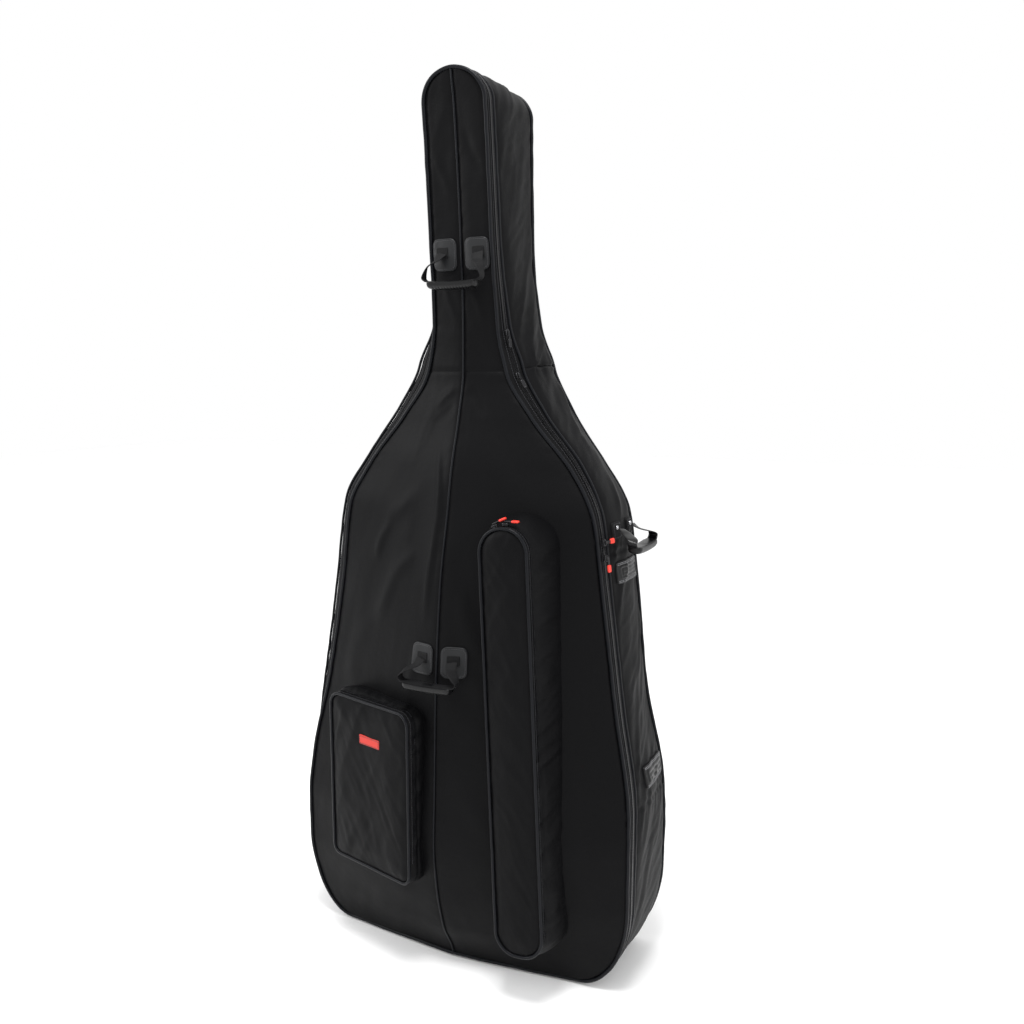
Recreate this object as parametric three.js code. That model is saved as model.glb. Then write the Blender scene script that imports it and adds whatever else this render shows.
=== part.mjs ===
// Padded soft case (gig bag) for a three-quarter double bass, closed and standing upright.
// Millimetres. Origin at the centre of the flat base, +X to the right seen from the front,
// +Y towards the back, +Z up. The front lid faces -Y.
import * as THREE from "three";

// ---- driving dimensions -------------------------------------------------------------------
const BASE_LIFT = 8; // bottom edge of the shell above the ground
const CORNER_CENTRE_X = 290; // lower corners are quarter ellipses
const CORNER_CENTRE_Z = 200;
const NECK_TOP_Z = 1835; // the head end is a half ellipse above this height
const TOP_Z = 1900;
const SHOULDER_Z = 1300; // seam between body panels and neck panels
const BACK_Y = 110; // outer face of the flat back
const BAND = 38; // depth of the zip band behind the lid's edge
const COIL = 18; // depth of the zip's coil behind the lid's edge
const WALL = 12; // padded wall thickness
const CLOTH = 3; // thickness of a cover cloth panel
const TAPE = 2; // thickness of zip tape and webbing
const FOAM = 9; // thickness of a foam panel
const PIPING_R = 4; // radius of the edge piping
const CREASE = 1.25; // exponent of the lid's fall from its centre seam to its edge
const GAP = 0.4; // clearance between touching pieces
const GUARD = 4.6; // thickness of the guard under the base
const HINGE_LOW_Z = 200; // the lid is sewn to the left side between these heights
const HINGE_HIGH_Z = 400;

// height, half width at the lid's edge, flare at the left zip piping, flare at the back,
// depth of the lid's edge, depth of the centre seam, flare at the right zip piping
const STATIONS = [
  [0, 400, 0, 0, -112, -140, 0],
  [100, 400, 1, 1, -113, -186, 1],
  [200, 400, 2, 2, -120, -212, 2],
  [300, 400, 5, 4, -120, -223, 3],
  [400, 395, 12, 4, -108, -218, 4],
  [600, 357, 36, 1, -86, -209, 5],
  [850, 319, 40, 11, -74, -184, 6],
  [1000, 298, 36, 10, -74, -152, 8],
  [1100, 243, 30, 6, -65, -131, 12],
  [1200, 158, 36, 20, -66, -100, 18],
  [1300, 94, 44, 34, -62, -77, 24],
  [1400, 76, 20, 18, -67, -76, 12],
  [1550, 72, 5, 4, -83, -83, 4],
  [1835, 71, 3, 0, -110, -109, 2],
  [1900, 71, 2, 0, -120, -120, 2],
];
const [WIDTH, LEFT_FLARE, BACK_FLARE, EDGE, SEAM, RIGHT_FLARE] = [1, 2, 3, 4, 5, 6];

const SIDE_HEIGHTS = [
  300, 400, 500, 600, 700, 800, 900, 1000, 1050, 1100, 1150, 1200, 1250, 1300, 1350, 1400,
  1500, 1600, 1720, 1835,
];

// ---- materials ----------------------------------------------------------------------------
const nylon = { color: 0x17181c, roughness: 0.62 };
const trim = { color: 0x20232a, roughness: 0.45 };
const tape = { color: 0x121316, roughness: 0.8 };
const foam = { color: 0x4a4c50, roughness: 0.95 };
const vinyl = { color: 0x4d4f53, roughness: 0.5 };
const webbing = { color: 0x111215, roughness: 0.85 };
const rubber = { color: 0x0d0d0f, roughness: 0.4 };
const metal = { color: 0x1b1b1d, roughness: 0.35, metalness: 0.8 };
const red = { color: 0xd63a28, roughness: 0.5 };
const label = { color: 0xc4372c, roughness: 0.6 };

const bag = new THREE.Group();

function add(name, geometry, look, parent = bag) {
  const mesh = new THREE.Mesh(geometry, new THREE.MeshStandardMaterial(look));
  mesh.name = name;
  parent.add(mesh);
  return mesh;
}

// ---- shape helpers ------------------------------------------------------------------------
// Smooth value of one column of STATIONS at height z, without overshoot.
function station(column, z) {
  const rows = STATIONS;
  const last = rows.length - 1;
  const i = Math.min(Math.max(rows.findIndex((row) => row[0] > z) - 1, 0), last - 1);
  const k = z >= rows[last][0] ? last - 1 : i;
  const slope = (n) => (rows[n + 1][column] - rows[n][column]) / (rows[n + 1][0] - rows[n][0]);
  const tangent = (n) => {
    if (n === 0 || n === last) return 0;
    const [before, after] = [slope(n - 1), slope(n)];
    return before * after <= 0 ? 0 : (2 * before * after) / (before + after);
  };
  const span = rows[k + 1][0] - rows[k][0];
  const t = THREE.MathUtils.clamp((z - rows[k][0]) / span, 0, 1);
  const [a, b] = [rows[k][column], rows[k + 1][column]];
  const blend = t * t * (3 - 2 * t);
  const pull = span * t * (1 - t) * (tangent(k) * (1 - t) - tangent(k + 1) * t);
  return a + (b - a) * blend + pull;
}

function halfWidth(z) {
  if (z < CORNER_CENTRE_Z) {
    const t = (CORNER_CENTRE_Z - z) / (CORNER_CENTRE_Z - BASE_LIFT);
    const reach = station(WIDTH, CORNER_CENTRE_Z) - CORNER_CENTRE_X;
    return CORNER_CENTRE_X + reach * Math.sqrt(Math.max(0, 1 - t * t));
  }
  if (z > NECK_TOP_Z) {
    const t = (z - NECK_TOP_Z) / (TOP_Z - NECK_TOP_Z);
    return station(WIDTH, NECK_TOP_Z) * Math.sqrt(Math.max(0, 1 - t * t));
  }
  return station(WIDTH, z);
}

// Depth of the lid's outer surface: a ridge along the centre seam, falling to the edges.
function lidY(x, z) {
  const width = Math.max(halfWidth(z), 1);
  const u = Math.min(Math.abs(x) / width, 1);
  const edge = station(EDGE, z);
  return edge + (station(SEAM, z) - edge) * (1 - u ** CREASE);
}

// Closed body from positions and triangles, turned so that its faces point outwards.
function solid(points, faces) {
  let volume = 0;
  const cross = new THREE.Vector3();
  for (const [a, b, c] of faces) {
    volume += points[a].dot(cross.crossVectors(points[b], points[c]));
  }
  const order = volume > 0 ? faces.flat() : faces.flatMap(([a, b, c]) => [a, c, b]);
  const geometry = new THREE.BufferGeometry().setFromPoints(points);
  geometry.setIndex(order);
  const flat = geometry.toNonIndexed();
  flat.computeVertexNormals();
  return flat;
}

// Body through a row of outlines that all have the same number of corners.
function loft(outlines) {
  const n = outlines[0].length;
  const faces = [];
  for (let i = 0; i + 1 < outlines.length; i += 1) {
    for (let j = 0; j < n; j += 1) {
      const [a, b] = [i * n + j, i * n + ((j + 1) % n)];
      faces.push([a, b, b + n], [a, b + n, a + n]);
    }
  }
  const lastStart = (outlines.length - 1) * n;
  for (const [a, b, c] of capTriangles(outlines[0])) faces.push([a, c, b]);
  for (const [a, b, c] of capTriangles(outlines[outlines.length - 1])) {
    faces.push([lastStart + a, lastStart + b, lastStart + c]);
  }
  return solid(outlines.flat(), faces);
}

// Triangles over a flat outline, ordered like the outline itself.
function capTriangles(outline) {
  const normal = new THREE.Vector3();
  for (let i = 0; i < outline.length; i += 1) {
    const next = outline[(i + 1) % outline.length];
    normal.add(new THREE.Vector3().crossVectors(outline[i], next));
  }
  const side = new THREE.Vector3().subVectors(outline[1], outline[0]).normalize();
  const up = new THREE.Vector3().crossVectors(normal, side).normalize();
  const flat = outline.map((p) => new THREE.Vector2(p.dot(side), p.dot(up)));
  return THREE.ShapeUtils.triangulateShape(flat, []);
}

// Slab between a front and a back surface, both given as (i, j) => Vector3 on one grid.
function slab(front, back, columns, rows) {
  const points = [];
  const faces = [];
  const size = (columns + 1) * (rows + 1);
  const at = (layer, i, j) => layer * size + j * (columns + 1) + i;
  for (const surface of [front, back]) {
    for (let j = 0; j <= rows; j += 1) {
      for (let i = 0; i <= columns; i += 1) points.push(surface(i, j));
    }
  }
  const quad = (a, b, c, d) => faces.push([a, b, c], [a, c, d]);
  for (let j = 0; j < rows; j += 1) {
    for (let i = 0; i < columns; i += 1) {
      quad(at(0, i, j), at(0, i + 1, j), at(0, i + 1, j + 1), at(0, i, j + 1));
      quad(at(1, i, j), at(1, i, j + 1), at(1, i + 1, j + 1), at(1, i + 1, j));
    }
  }
  for (let i = 0; i < columns; i += 1) {
    quad(at(0, i, 0), at(1, i, 0), at(1, i + 1, 0), at(0, i + 1, 0));
    quad(at(0, i, rows), at(0, i + 1, rows), at(1, i + 1, rows), at(1, i, rows));
  }
  for (let j = 0; j < rows; j += 1) {
    quad(at(0, 0, j), at(0, 0, j + 1), at(1, 0, j + 1), at(1, 0, j));
    quad(at(0, columns, j), at(1, columns, j), at(1, columns, j + 1), at(0, columns, j + 1));
  }
  return solid(points, faces);
}

// ---- the rim: the outline of the lid's edge, seen from the front ---------------------------
function rimHalf() {
  const points = [[0, BASE_LIFT], [100, BASE_LIFT], [CORNER_CENTRE_X, BASE_LIFT]];
  const reach = station(WIDTH, CORNER_CENTRE_Z) - CORNER_CENTRE_X;
  for (const degrees of [18, 36, 54, 72, 90]) {
    const angle = THREE.MathUtils.degToRad(degrees);
    const drop = (CORNER_CENTRE_Z - BASE_LIFT) * Math.cos(angle);
    points.push([CORNER_CENTRE_X + reach * Math.sin(angle), CORNER_CENTRE_Z - drop]);
  }
  for (const z of SIDE_HEIGHTS) points.push([halfWidth(z), z]);
  for (const degrees of [30, 60, 90]) {
    const angle = THREE.MathUtils.degToRad(degrees);
    const rise = (TOP_Z - NECK_TOP_Z) * Math.sin(angle);
    points.push([station(WIDTH, NECK_TOP_Z) * Math.cos(angle), NECK_TOP_Z + rise]);
  }
  return points;
}

// Closed loop of rim points with outward directions, up the right side and down the left.
function rimLoop() {
  const half = rimHalf();
  const left = half.slice(1, -1).reverse().map(([x, z]) => [-x, z]);
  const loop = [...half, ...left];
  return loop.map(([x, z], i) => {
    const before = loop[(i + loop.length - 1) % loop.length];
    const after = loop[(i + 1) % loop.length];
    const along = new THREE.Vector2(after[0] - before[0], after[1] - before[1]).normalize();
    return { x, z, outX: along.y, outZ: -along.x };
  });
}
const RIM = rimLoop();

function rimIndex(x, z) {
  const far = (p) => Math.hypot(p.x - x, p.z - z);
  return RIM.reduce((best, p, i) => (far(p) < far(RIM[best]) ? i : best), 0);
}
const AT_BASE = 0;
const AT_RIGHT_CORNER = rimIndex(CORNER_CENTRE_X, BASE_LIFT);
const AT_RIGHT_SHOULDER = rimIndex(halfWidth(SHOULDER_Z), SHOULDER_Z);
const AT_TOP = rimIndex(0, TOP_Z);
const AT_LEFT_SHOULDER = rimIndex(-halfWidth(SHOULDER_Z), SHOULDER_Z);
const AT_HINGE_HIGH = rimIndex(-halfWidth(HINGE_HIGH_Z), HINGE_HIGH_Z);
const AT_HINGE_LOW = rimIndex(-halfWidth(HINGE_LOW_Z), HINGE_LOW_Z);
const AT_LEFT_CORNER = rimIndex(-CORNER_CENTRE_X, BASE_LIFT);

// Rim points from one index to another, the way the loop runs, trimmed by half a gap.
function rimPath(from, to) {
  const count = (to - from + RIM.length) % RIM.length || RIM.length;
  const path = [];
  for (let i = 0; i <= count; i += 1) path.push({ ...RIM[(from + i) % RIM.length] });
  const trimEnd = (end, inner) => {
    const length = Math.hypot(inner.x - end.x, inner.z - end.z);
    end.x += ((inner.x - end.x) * GAP) / length;
    end.z += ((inner.z - end.z) * GAP) / length;
  };
  trimEnd(path[0], path[1]);
  trimEnd(path[count], path[count - 1]);
  return path;
}

// Runs a section along a rim path. The section is (outward offset, depth) corners.
function alongRim(path, section) {
  return loft(path.map((p) => section(p).map(([out, y]) => {
    return new THREE.Vector3(p.x + p.outX * out, y, p.z + p.outZ * out);
  })));
}

const edgeY = (p) => lidY(p.x, p.z);
const zipFlare = (x, z) => station(x > 0 ? RIGHT_FLARE : LEFT_FLARE, z);
const bandFlare = (p, depth) => (zipFlare(p.x, p.z) * depth) / BAND;

// Outward offset of the side's outer surface, widest at half its depth.
function sideOffset(x, z, y, edge) {
  const front = edge + BAND;
  const [c, b] = [zipFlare(x, z), station(BACK_FLARE, z)];
  const t = THREE.MathUtils.clamp((y - front) / (BACK_Y - front), 0, 1);
  const swell = 4 * t * (1 - t) * Math.min(10, 2 + c);
  return c + (b - c) * t + swell;
}

function sideSection(p) {
  const edge = edgeY(p);
  const start = edge + COIL - 2;
  const step = edge + BAND - 0.8;
  const lip = edge + BAND;
  const back = BACK_Y - PIPING_R - 1.5;
  const middle = (lip + back) / 2;
  const offset = (y) => sideOffset(p.x, p.z, y, edge);
  const under = bandFlare(p, start - edge) - TAPE - 4;
  return [
    [under, start],
    [offset(lip) - PIPING_R - 3, step],
    [offset(lip), lip],
    [offset(middle), middle],
    [offset(back), back],
    [offset(back) - WALL, back],
    [offset(middle) - WALL, middle],
    [offset(lip) - WALL - 2, lip],
    [under - FOAM + 1, start],
  ];
}

function round(centreOut, centreY, radius, sides = 6) {
  const corners = [];
  for (let i = 0; i < sides; i += 1) {
    const angle = (2 * Math.PI * (i + 0.5)) / sides;
    corners.push([centreOut + radius * Math.cos(angle), centreY + radius * Math.sin(angle)]);
  }
  return corners;
}

// ---- shell: sides, back, piping, zip -------------------------------------------------------
function outlineAt(inset, flare) {
  return RIM.map((p) => {
    const out = station(flare, p.z) - inset;
    return new THREE.Vector2(p.x + p.outX * out, p.z + p.outZ * out);
  });
}

// Flat plate with the bag's outline, its outer face at depth y.
function backPlate(name, inset, y, thickness, look) {
  const shape = new THREE.Shape(outlineAt(inset, BACK_FLARE));
  const plate = new THREE.ExtrudeGeometry(shape, { depth: thickness, bevelEnabled: false });
  plate.rotateX(Math.PI / 2);
  plate.translate(0, y, 0);
  add(name, plate, look);
}

function shell() {
  backPlate("back_panel", PIPING_R + 1, BACK_Y, CLOTH, nylon);
  backPlate("back_foam", WALL + 1.5, BACK_Y - CLOTH - GAP, FOAM, foam);
  const pieces = [
    ["base_panel", AT_LEFT_CORNER, AT_RIGHT_CORNER],
    ["side_right", AT_RIGHT_CORNER, AT_RIGHT_SHOULDER],
    ["neck_side_right", AT_RIGHT_SHOULDER, AT_TOP],
    ["neck_side_left", AT_TOP, AT_LEFT_SHOULDER],
    ["side_left", AT_LEFT_SHOULDER, AT_LEFT_CORNER],
  ];
  for (const [name, from, to] of pieces) {
    add(name, alongRim(rimPath(from, to), sideSection), nylon);
  }
  const loop = rimPath(AT_BASE, AT_BASE);
  const rear = (p) => round(station(BACK_FLARE, p.z) - 0.5, BACK_Y, PIPING_R);
  add("rear_piping", alongRim(loop, rear), trim);
  const zip = (p) => round(zipFlare(p.x, p.z) - 0.4, edgeY(p) + BAND - 4, 2.8);
  add("zip_piping", alongRim(loop, zip), trim);
  const zipped = rimPath(AT_HINGE_LOW, AT_HINGE_HIGH);
  add("shell_zip_tape", alongRim(zipped, bandSection(COIL - 4, BAND - 8)), tape);
  const sewn = rimPath(AT_HINGE_HIGH, AT_HINGE_LOW);
  add("hinge_strip", alongRim(sewn, bandSection(PIPING_R + 1, BAND - 8)), nylon);
}

// Thin strip lying in the zip band between two depths behind the lid's edge.
function bandSection(from, to) {
  return (p) => {
    const edge = edgeY(p);
    return [
      [bandFlare(p, from), edge + from],
      [bandFlare(p, to), edge + to],
      [bandFlare(p, to) - TAPE, edge + to],
      [bandFlare(p, from) - TAPE, edge + from],
    ];
  };
}

// ---- lid -----------------------------------------------------------------------------------
const LID_ROWS = RIM.slice(0, AT_TOP).filter((p) => p.x >= CORNER_CENTRE_X || p.z > BASE_LIFT);

// Row of the lid at one rim point, pulled in from the rim by an inset.
function lidRow(p, inset) {
  return { x: p.x - p.outX * inset, z: p.z - p.outZ * inset };
}

// Piece of the lid between two fractions of its width and two rim rows.
function lidPiece(rows, inset, from, to, columns, offset, thickness) {
  const surface = (behind) => (i, j) => {
    const row = rows[j];
    const side = from + ((to - from) * i) / columns;
    const x = row.x * side + (side === 0 ? inset : 0) * Math.sign(from + to);
    return new THREE.Vector3(x, lidY(x, row.z) + offset + behind, row.z);
  };
  return slab(surface(0), surface(thickness), columns, rows.length - 1);
}

function lid() {
  const inset = PIPING_R + 1;
  const rows = LID_ROWS.map((p) => lidRow(p, inset));
  const isBody = (row) => row.z <= SHOULDER_Z + 1;
  const body = rows.filter(isBody);
  const neck = rows.filter((row) => row.z >= SHOULDER_Z - 1).map((row) => ({ ...row }));
  neck[0].z += GAP;
  const seam = 2.6;
  const cloth = (list, from, to, columns) => {
    return lidPiece(list, seam, from, to, columns, 0, CLOTH);
  };
  add("lid_body_left", cloth(body, -1, 0, 3), nylon);
  add("lid_body_right", cloth(body, 0, 1, 3), nylon);
  add("lid_neck_left", cloth(neck, -1, 0, 3), nylon);
  add("lid_neck_right", cloth(neck, 0, 1, 3), nylon);
  add("lid_foam", lidPiece(rows, 0, -1, 1, 6, CLOTH + 2 * GAP, FOAM - 2), foam);
  const seamPath = rows.map((row) => new THREE.Vector3(0, lidY(0, row.z) + 0.6, row.z));
  add("centre_piping", loft(seamPath.map((c) => round(0, 0, 2.2).map(([out, y]) => {
    return new THREE.Vector3(c.x + out, c.y + y, c.z);
  }))), trim);
  const front = (p) => round(-0.5, edgeY(p), PIPING_R);
  add("front_piping", alongRim(rimPath(AT_BASE, AT_BASE), front), trim);
  const zipped = rimPath(AT_HINGE_LOW, AT_HINGE_HIGH);
  add("lid_zip_tape", alongRim(zipped, bandSection(PIPING_R + 1, COIL - 5)), tape);
  bridgePad();
}

// Extra padding inside the lid, over the bridge of the instrument.
function bridgePad() {
  const [wide, low, tall, thick] = [90, 640, 180, 11];
  const behindFoam = CLOTH + FOAM + 3;
  const surface = (offset) => (i, j) => {
    const x = wide * (i - 1);
    const z = low + (tall * j) / 4;
    return new THREE.Vector3(x, lidY(x, z) + offset, z);
  };
  add("bridge_pad", slab(surface(behindFoam), surface(behindFoam + thick), 2, 4), foam);
}

// Flat guard under the base, which the bag stands on.
function baseGuard() {
  const [wide, deep, corner, middleY] = [376, 184, 30, 8];
  const plate = roundedPlate(wide, deep, corner, GUARD);
  add("base_guard", plate, rubber).position.set(0, middleY, 0);
}

function roundedPlate(wide, deep, corner, thickness) {
  const [x, y] = [wide / 2 - corner, deep / 2 - corner];
  const shape = new THREE.Shape();
  shape.absarc(x, y, corner, 0, Math.PI / 2);
  shape.absarc(-x, y, corner, Math.PI / 2, Math.PI);
  shape.absarc(-x, -y, corner, Math.PI, 1.5 * Math.PI);
  shape.absarc(x, -y, corner, 1.5 * Math.PI, 2 * Math.PI);
  const options = { depth: thickness, bevelEnabled: false, curveSegments: 3 };
  return new THREE.ExtrudeGeometry(shape, options);
}

// Inner pieces: the patch that takes the end pin, and the strap that holds the neck.
function innerPieces() {
  const [radius, thick, middleY] = [55, 4, 10];
  const patch = new THREE.CylinderGeometry(radius, radius, thick, 16).rotateX(Math.PI / 2);
  add("endpin_patch", patch, rubber).position.set(0, middleY, BASE_LIFT + WALL + thick);
  const [wide, tall, strapZ] = [104, 38, 1470];
  const strap = new THREE.BoxGeometry(wide, TAPE + 1, tall);
  const strapY = BACK_Y - CLOTH - FOAM - 2 * GAP - TAPE;
  add("neck_strap", strap, webbing).position.set(0, strapY, strapZ);
}

// ---- right side: ribbed pads and the side handle --------------------------------------------
// Point on the outer surface of the right side, raised by a lift.
function onSide(z, y, lift) {
  const out = sideOffset(1, z, y, station(EDGE, z)) + lift;
  const slope = (halfWidth(z + 5) - halfWidth(z - 5)) / 10;
  const length = Math.hypot(1, slope);
  return new THREE.Vector3(halfWidth(z) + out / length, y, z - (out * slope) / length);
}

// Patch lying on the right side, from one depth to another, centred at height z.
function sidePatch(name, z, tall, front, back, thick, look) {
  const clear = 1.8;
  const surface = (lift) => (i, j) => {
    return onSide(z + tall * (j - 0.5), front + ((back - front) * i) / 4, lift);
  };
  add(name, slab(surface(clear + thick), surface(clear), 4, 1), look);
}

// ---- handles: a webbing strap with a moulded grip --------------------------------------------
// Built in its own group: x along the grip, z up, -y out from the panel, the anchors at z = 0.
const STRAP_WIDE = 24;
const GRIP_HALF = 56;
const NECK_HANDLE_Z = 1540;
const BELLY_HANDLE_Z = 700;
const SIDE_HANDLE_Z = 968;
const SIDE_HANDLE_Y = 34;

function handle(name, spread, hang, standOff, place) {
  const group = new THREE.Group();
  place(group);
  bag.add(group);
  const half = [
    { at: [spread, 0, -2], wide: [1, 0, 0], share: 1 },
    { at: [spread + 6, -0.4 * standOff, -0.22 * hang], wide: [0.85, 0.5, 0], share: 0.9 },
    { at: [GRIP_HALF + 4, -0.93 * standOff, -0.45 * hang], wide: [0.5, 0.85, 0], share: 0.8 },
    { at: [GRIP_HALF + 12, -standOff, 11 - hang], wide: [0, 1, 0], share: 0.7 },
    { at: [GRIP_HALF + 7, -standOff, 3 - hang], wide: [0, 1, 0], share: 0.9 },
    { at: [GRIP_HALF - 2, -standOff, 1.4 - hang], wide: [0, 1, 0], share: 1 },
    { at: [0, -standOff, -1 - hang], wide: [0, 1, 0], share: 1 },
  ];
  const mirrored = half.slice(0, -1).reverse().map(({ at, wide, share }) => {
    return { at: [-at[0], at[1], at[2]], wide: [wide[0], -wide[1], 0], share };
  });
  const first = half.map(({ at, wide, share }) => ({ at, wide: wide.map((v) => -v), share }));
  const path = [...first, ...mirrored];
  add(name + "_strap", ribbon(path, STRAP_WIDE, TAPE), webbing, group);
  add(name + "_grip", grip(hang, standOff), rubber, group);
}

// Points between the stated ones, so that a twist is spread over several steps.
function refine(path, steps) {
  const fine = [];
  for (let i = 0; i + 1 < path.length; i += 1) {
    for (let k = 0; k < steps; k += 1) {
      const mix = (a, b) => a + ((b - a) * k) / steps;
      const [from, to] = [path[i], path[i + 1]];
      fine.push({
        at: from.at.map((v, n) => mix(v, to.at[n])),
        wide: from.wide.map((v, n) => mix(v, to.wide[n])),
        share: mix(from.share, to.share),
      });
    }
  }
  return [...fine, path[path.length - 1]];
}

// Flat band along a path whose points each state the direction of the band's width.
function ribbon(coarse, wide, thick) {
  const path = refine(coarse, 4);
  const place = path.map(({ at }) => new THREE.Vector3(...at));
  return loft(path.map(({ wide: side }, i) => {
    const along = place[Math.min(i + 1, place.length - 1)].clone();
    along.sub(place[Math.max(i - 1, 0)]).normalize();
    const across = new THREE.Vector3(...side);
    across.addScaledVector(along, -across.dot(along)).normalize();
    const normal = new THREE.Vector3().crossVectors(along, across).multiplyScalar(thick / 2);
    across.multiplyScalar((wide / 2) * path[i].share);
    return [[1, 1], [-1, 1], [-1, -1], [1, -1]].map(([a, b]) => {
      return place[i].clone().addScaledVector(across, a).addScaledVector(normal, b);
    });
  }));
}

// Moulded channel under the strap, with a raised lip on each side of it.
function grip(hang, standOff) {
  const [inner, outer] = [STRAP_WIDE / 2 + 1, STRAP_WIDE / 2 + 4];
  const section = [
    [-outer, 3], [-inner, 3], [-inner, -2.2], [inner, -2.2], [inner, 3], [outer, 3],
    [outer, -6], [8, -13], [-8, -13], [-outer, -6],
  ];
  return loft([-1, 0, 1].map((end) => section.map(([y, z]) => {
    const sag = end === 0 ? -1.8 : 0.6;
    return new THREE.Vector3(end * GRIP_HALF, y - standOff, z + sag - hang);
  })));
}

function handles() {
  const onLid = (z, lift) => (group) => {
    group.position.set(0, lidY(40, z) - lift, z);
  };
  handle("neck_handle", 42, 58, 30, onLid(NECK_HANDLE_Z, 8));
  handle("belly_handle", 37, 40, 34, onLid(BELLY_HANDLE_Z, 11));
  handle("side_handle", 36, 32, 34, (group) => {
    const anchor = onSide(SIDE_HANDLE_Z, SIDE_HANDLE_Y, 11);
    group.position.copy(anchor);
    group.rotation.z = Math.PI / 2;
  });
  for (const [name, z] of [["neck", NECK_HANDLE_Z], ["belly", BELLY_HANDLE_Z]]) {
    for (const [side, sign] of [["left", -1], ["right", 1]]) {
      add(`${name}_patch_${side}`, lidPatch(sign, z), vinyl);
    }
  }
  for (const [side, sign] of [["front", -1], ["rear", 1]]) {
    const y = SIDE_HANDLE_Y + sign * 36;
    sidePatch(`side_handle_tab_${side}`, SIDE_HANDLE_Z, 34, y - 16, y + 16, 3, webbing);
  }
}

// Reinforcing patch beside the centre seam, lying on the lid.
function lidPatch(sign, z) {
  const [inner, outer, tall, thick, clear] = [10, 66, 64, 3, 1.2];
  const surface = (lift) => (i, j) => {
    const x = sign * (inner + ((outer - inner) * i) / 2);
    const height = z - tall / 2 + (tall * j) / 2;
    return new THREE.Vector3(x, lidY(x, height) - lift, height);
  };
  return slab(surface(clear + thick), surface(clear), 2, 2);
}

// ---- pockets: a gusset sewn to the lid, closed by a flap that is hinged along one edge -----
const POCKET_STEP = 100; // longest straight stretch of a pocket's outline
const POCKET_COIL = 14; // depth of a pocket's zip behind its face

// A pocket's own axes: a across the face, d inwards to the lid, l along its length.
function pocketFrame({ bottom, top, turn }) {
  const length = new THREE.Vector3(...top).sub(new THREE.Vector3(...bottom)).normalize();
  const tilt = THREE.MathUtils.degToRad(turn);
  const level = new THREE.Vector3(Math.cos(tilt), -Math.sin(tilt), 0);
  const inward = new THREE.Vector3().crossVectors(length, level).normalize();
  const across = new THREE.Vector3().crossVectors(inward, length);
  const basis = new THREE.Matrix4().makeBasis(across, inward, length);
  return basis.setPosition(...bottom);
}

// Rounded outline of the face from the middle of its lower edge, with outward directions.
function pocketOutline({ half, tall, topRadius, lowRadius }) {
  const corners = [
    [half - lowRadius, lowRadius, lowRadius, -90],
    [half - topRadius, tall - topRadius, topRadius, 0],
    [topRadius - half, tall - topRadius, topRadius, 90],
    [lowRadius - half, lowRadius, lowRadius, 180],
  ];
  const outline = [{ a: 0, l: 0, outA: 0, outL: -1 }];
  const reach = (next) => {
    const last = outline[outline.length - 1];
    const count = Math.ceil(Math.hypot(next.a - last.a, next.l - last.l) / POCKET_STEP);
    for (let i = 1; i < count; i += 1) {
      const a = last.a + ((next.a - last.a) * i) / count;
      const l = last.l + ((next.l - last.l) * i) / count;
      outline.push({ a, l, outA: next.outA, outL: next.outL });
    }
    outline.push(next);
  };
  for (const [a, l, radius, start] of corners) {
    for (const step of [0, 30, 60, 90]) {
      const angle = THREE.MathUtils.degToRad(start + step);
      const [outA, outL] = [Math.cos(angle), Math.sin(angle)];
      reach({ a: a + radius * outA, l: l + radius * outL, outA, outL });
    }
  }
  reach({ a: -PIPING_R / 4, l: 0, outA: 0, outL: -1 });
  return outline;
}

// Depth at which the gusset meets the lid, just clear of it.
function depthAtLid(frame, a, l) {
  let depth = 40;
  for (let pass = 0; pass < 12; pass += 1) {
    const at = new THREE.Vector3(a, depth, l).applyMatrix4(frame);
    depth += lidY(at.x, at.z) - 2.5 - at.y;
  }
  return depth;
}

function pocket(name, look) {
  const frame = pocketFrame(look);
  const outline = pocketOutline(look);
  const ring = (section) => loft(outline.map((p) => section(p).map(([out, depth]) => {
    const at = new THREE.Vector3(p.a + p.outA * out, depth, p.l + p.outL * out);
    return at.applyMatrix4(frame);
  })));
  const start = PIPING_R + 1;
  const wall = (p) => {
    const reach = depthAtLid(frame, p.a + p.outA * look.flare, p.l + p.outL * look.flare);
    const inner = depthAtLid(frame, p.a, p.l);
    const foot = Math.min(reach, inner);
    return [[0, start], [look.flare, foot], [look.flare - CLOTH, foot], [-CLOTH, start]];
  };
  add(`${name}_wall`, ring(wall), nylon);
  add(`${name}_piping`, ring(() => round(0, 0, PIPING_R - 0.5)), trim);
  const inset = PIPING_R + GAP;
  const face = outline.slice(0, -1).map((p) => {
    return new THREE.Vector2(p.a - p.outA * inset, p.l - p.outL * inset);
  });
  const options = { depth: CLOTH, bevelEnabled: false };
  const panel = new THREE.ExtrudeGeometry(new THREE.Shape(face), options);
  panel.rotateX(Math.PI / 2);
  panel.translate(0, CLOTH / 2, 0);
  add(`${name}_front`, panel.applyMatrix4(frame), nylon);
  return frame;
}

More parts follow.
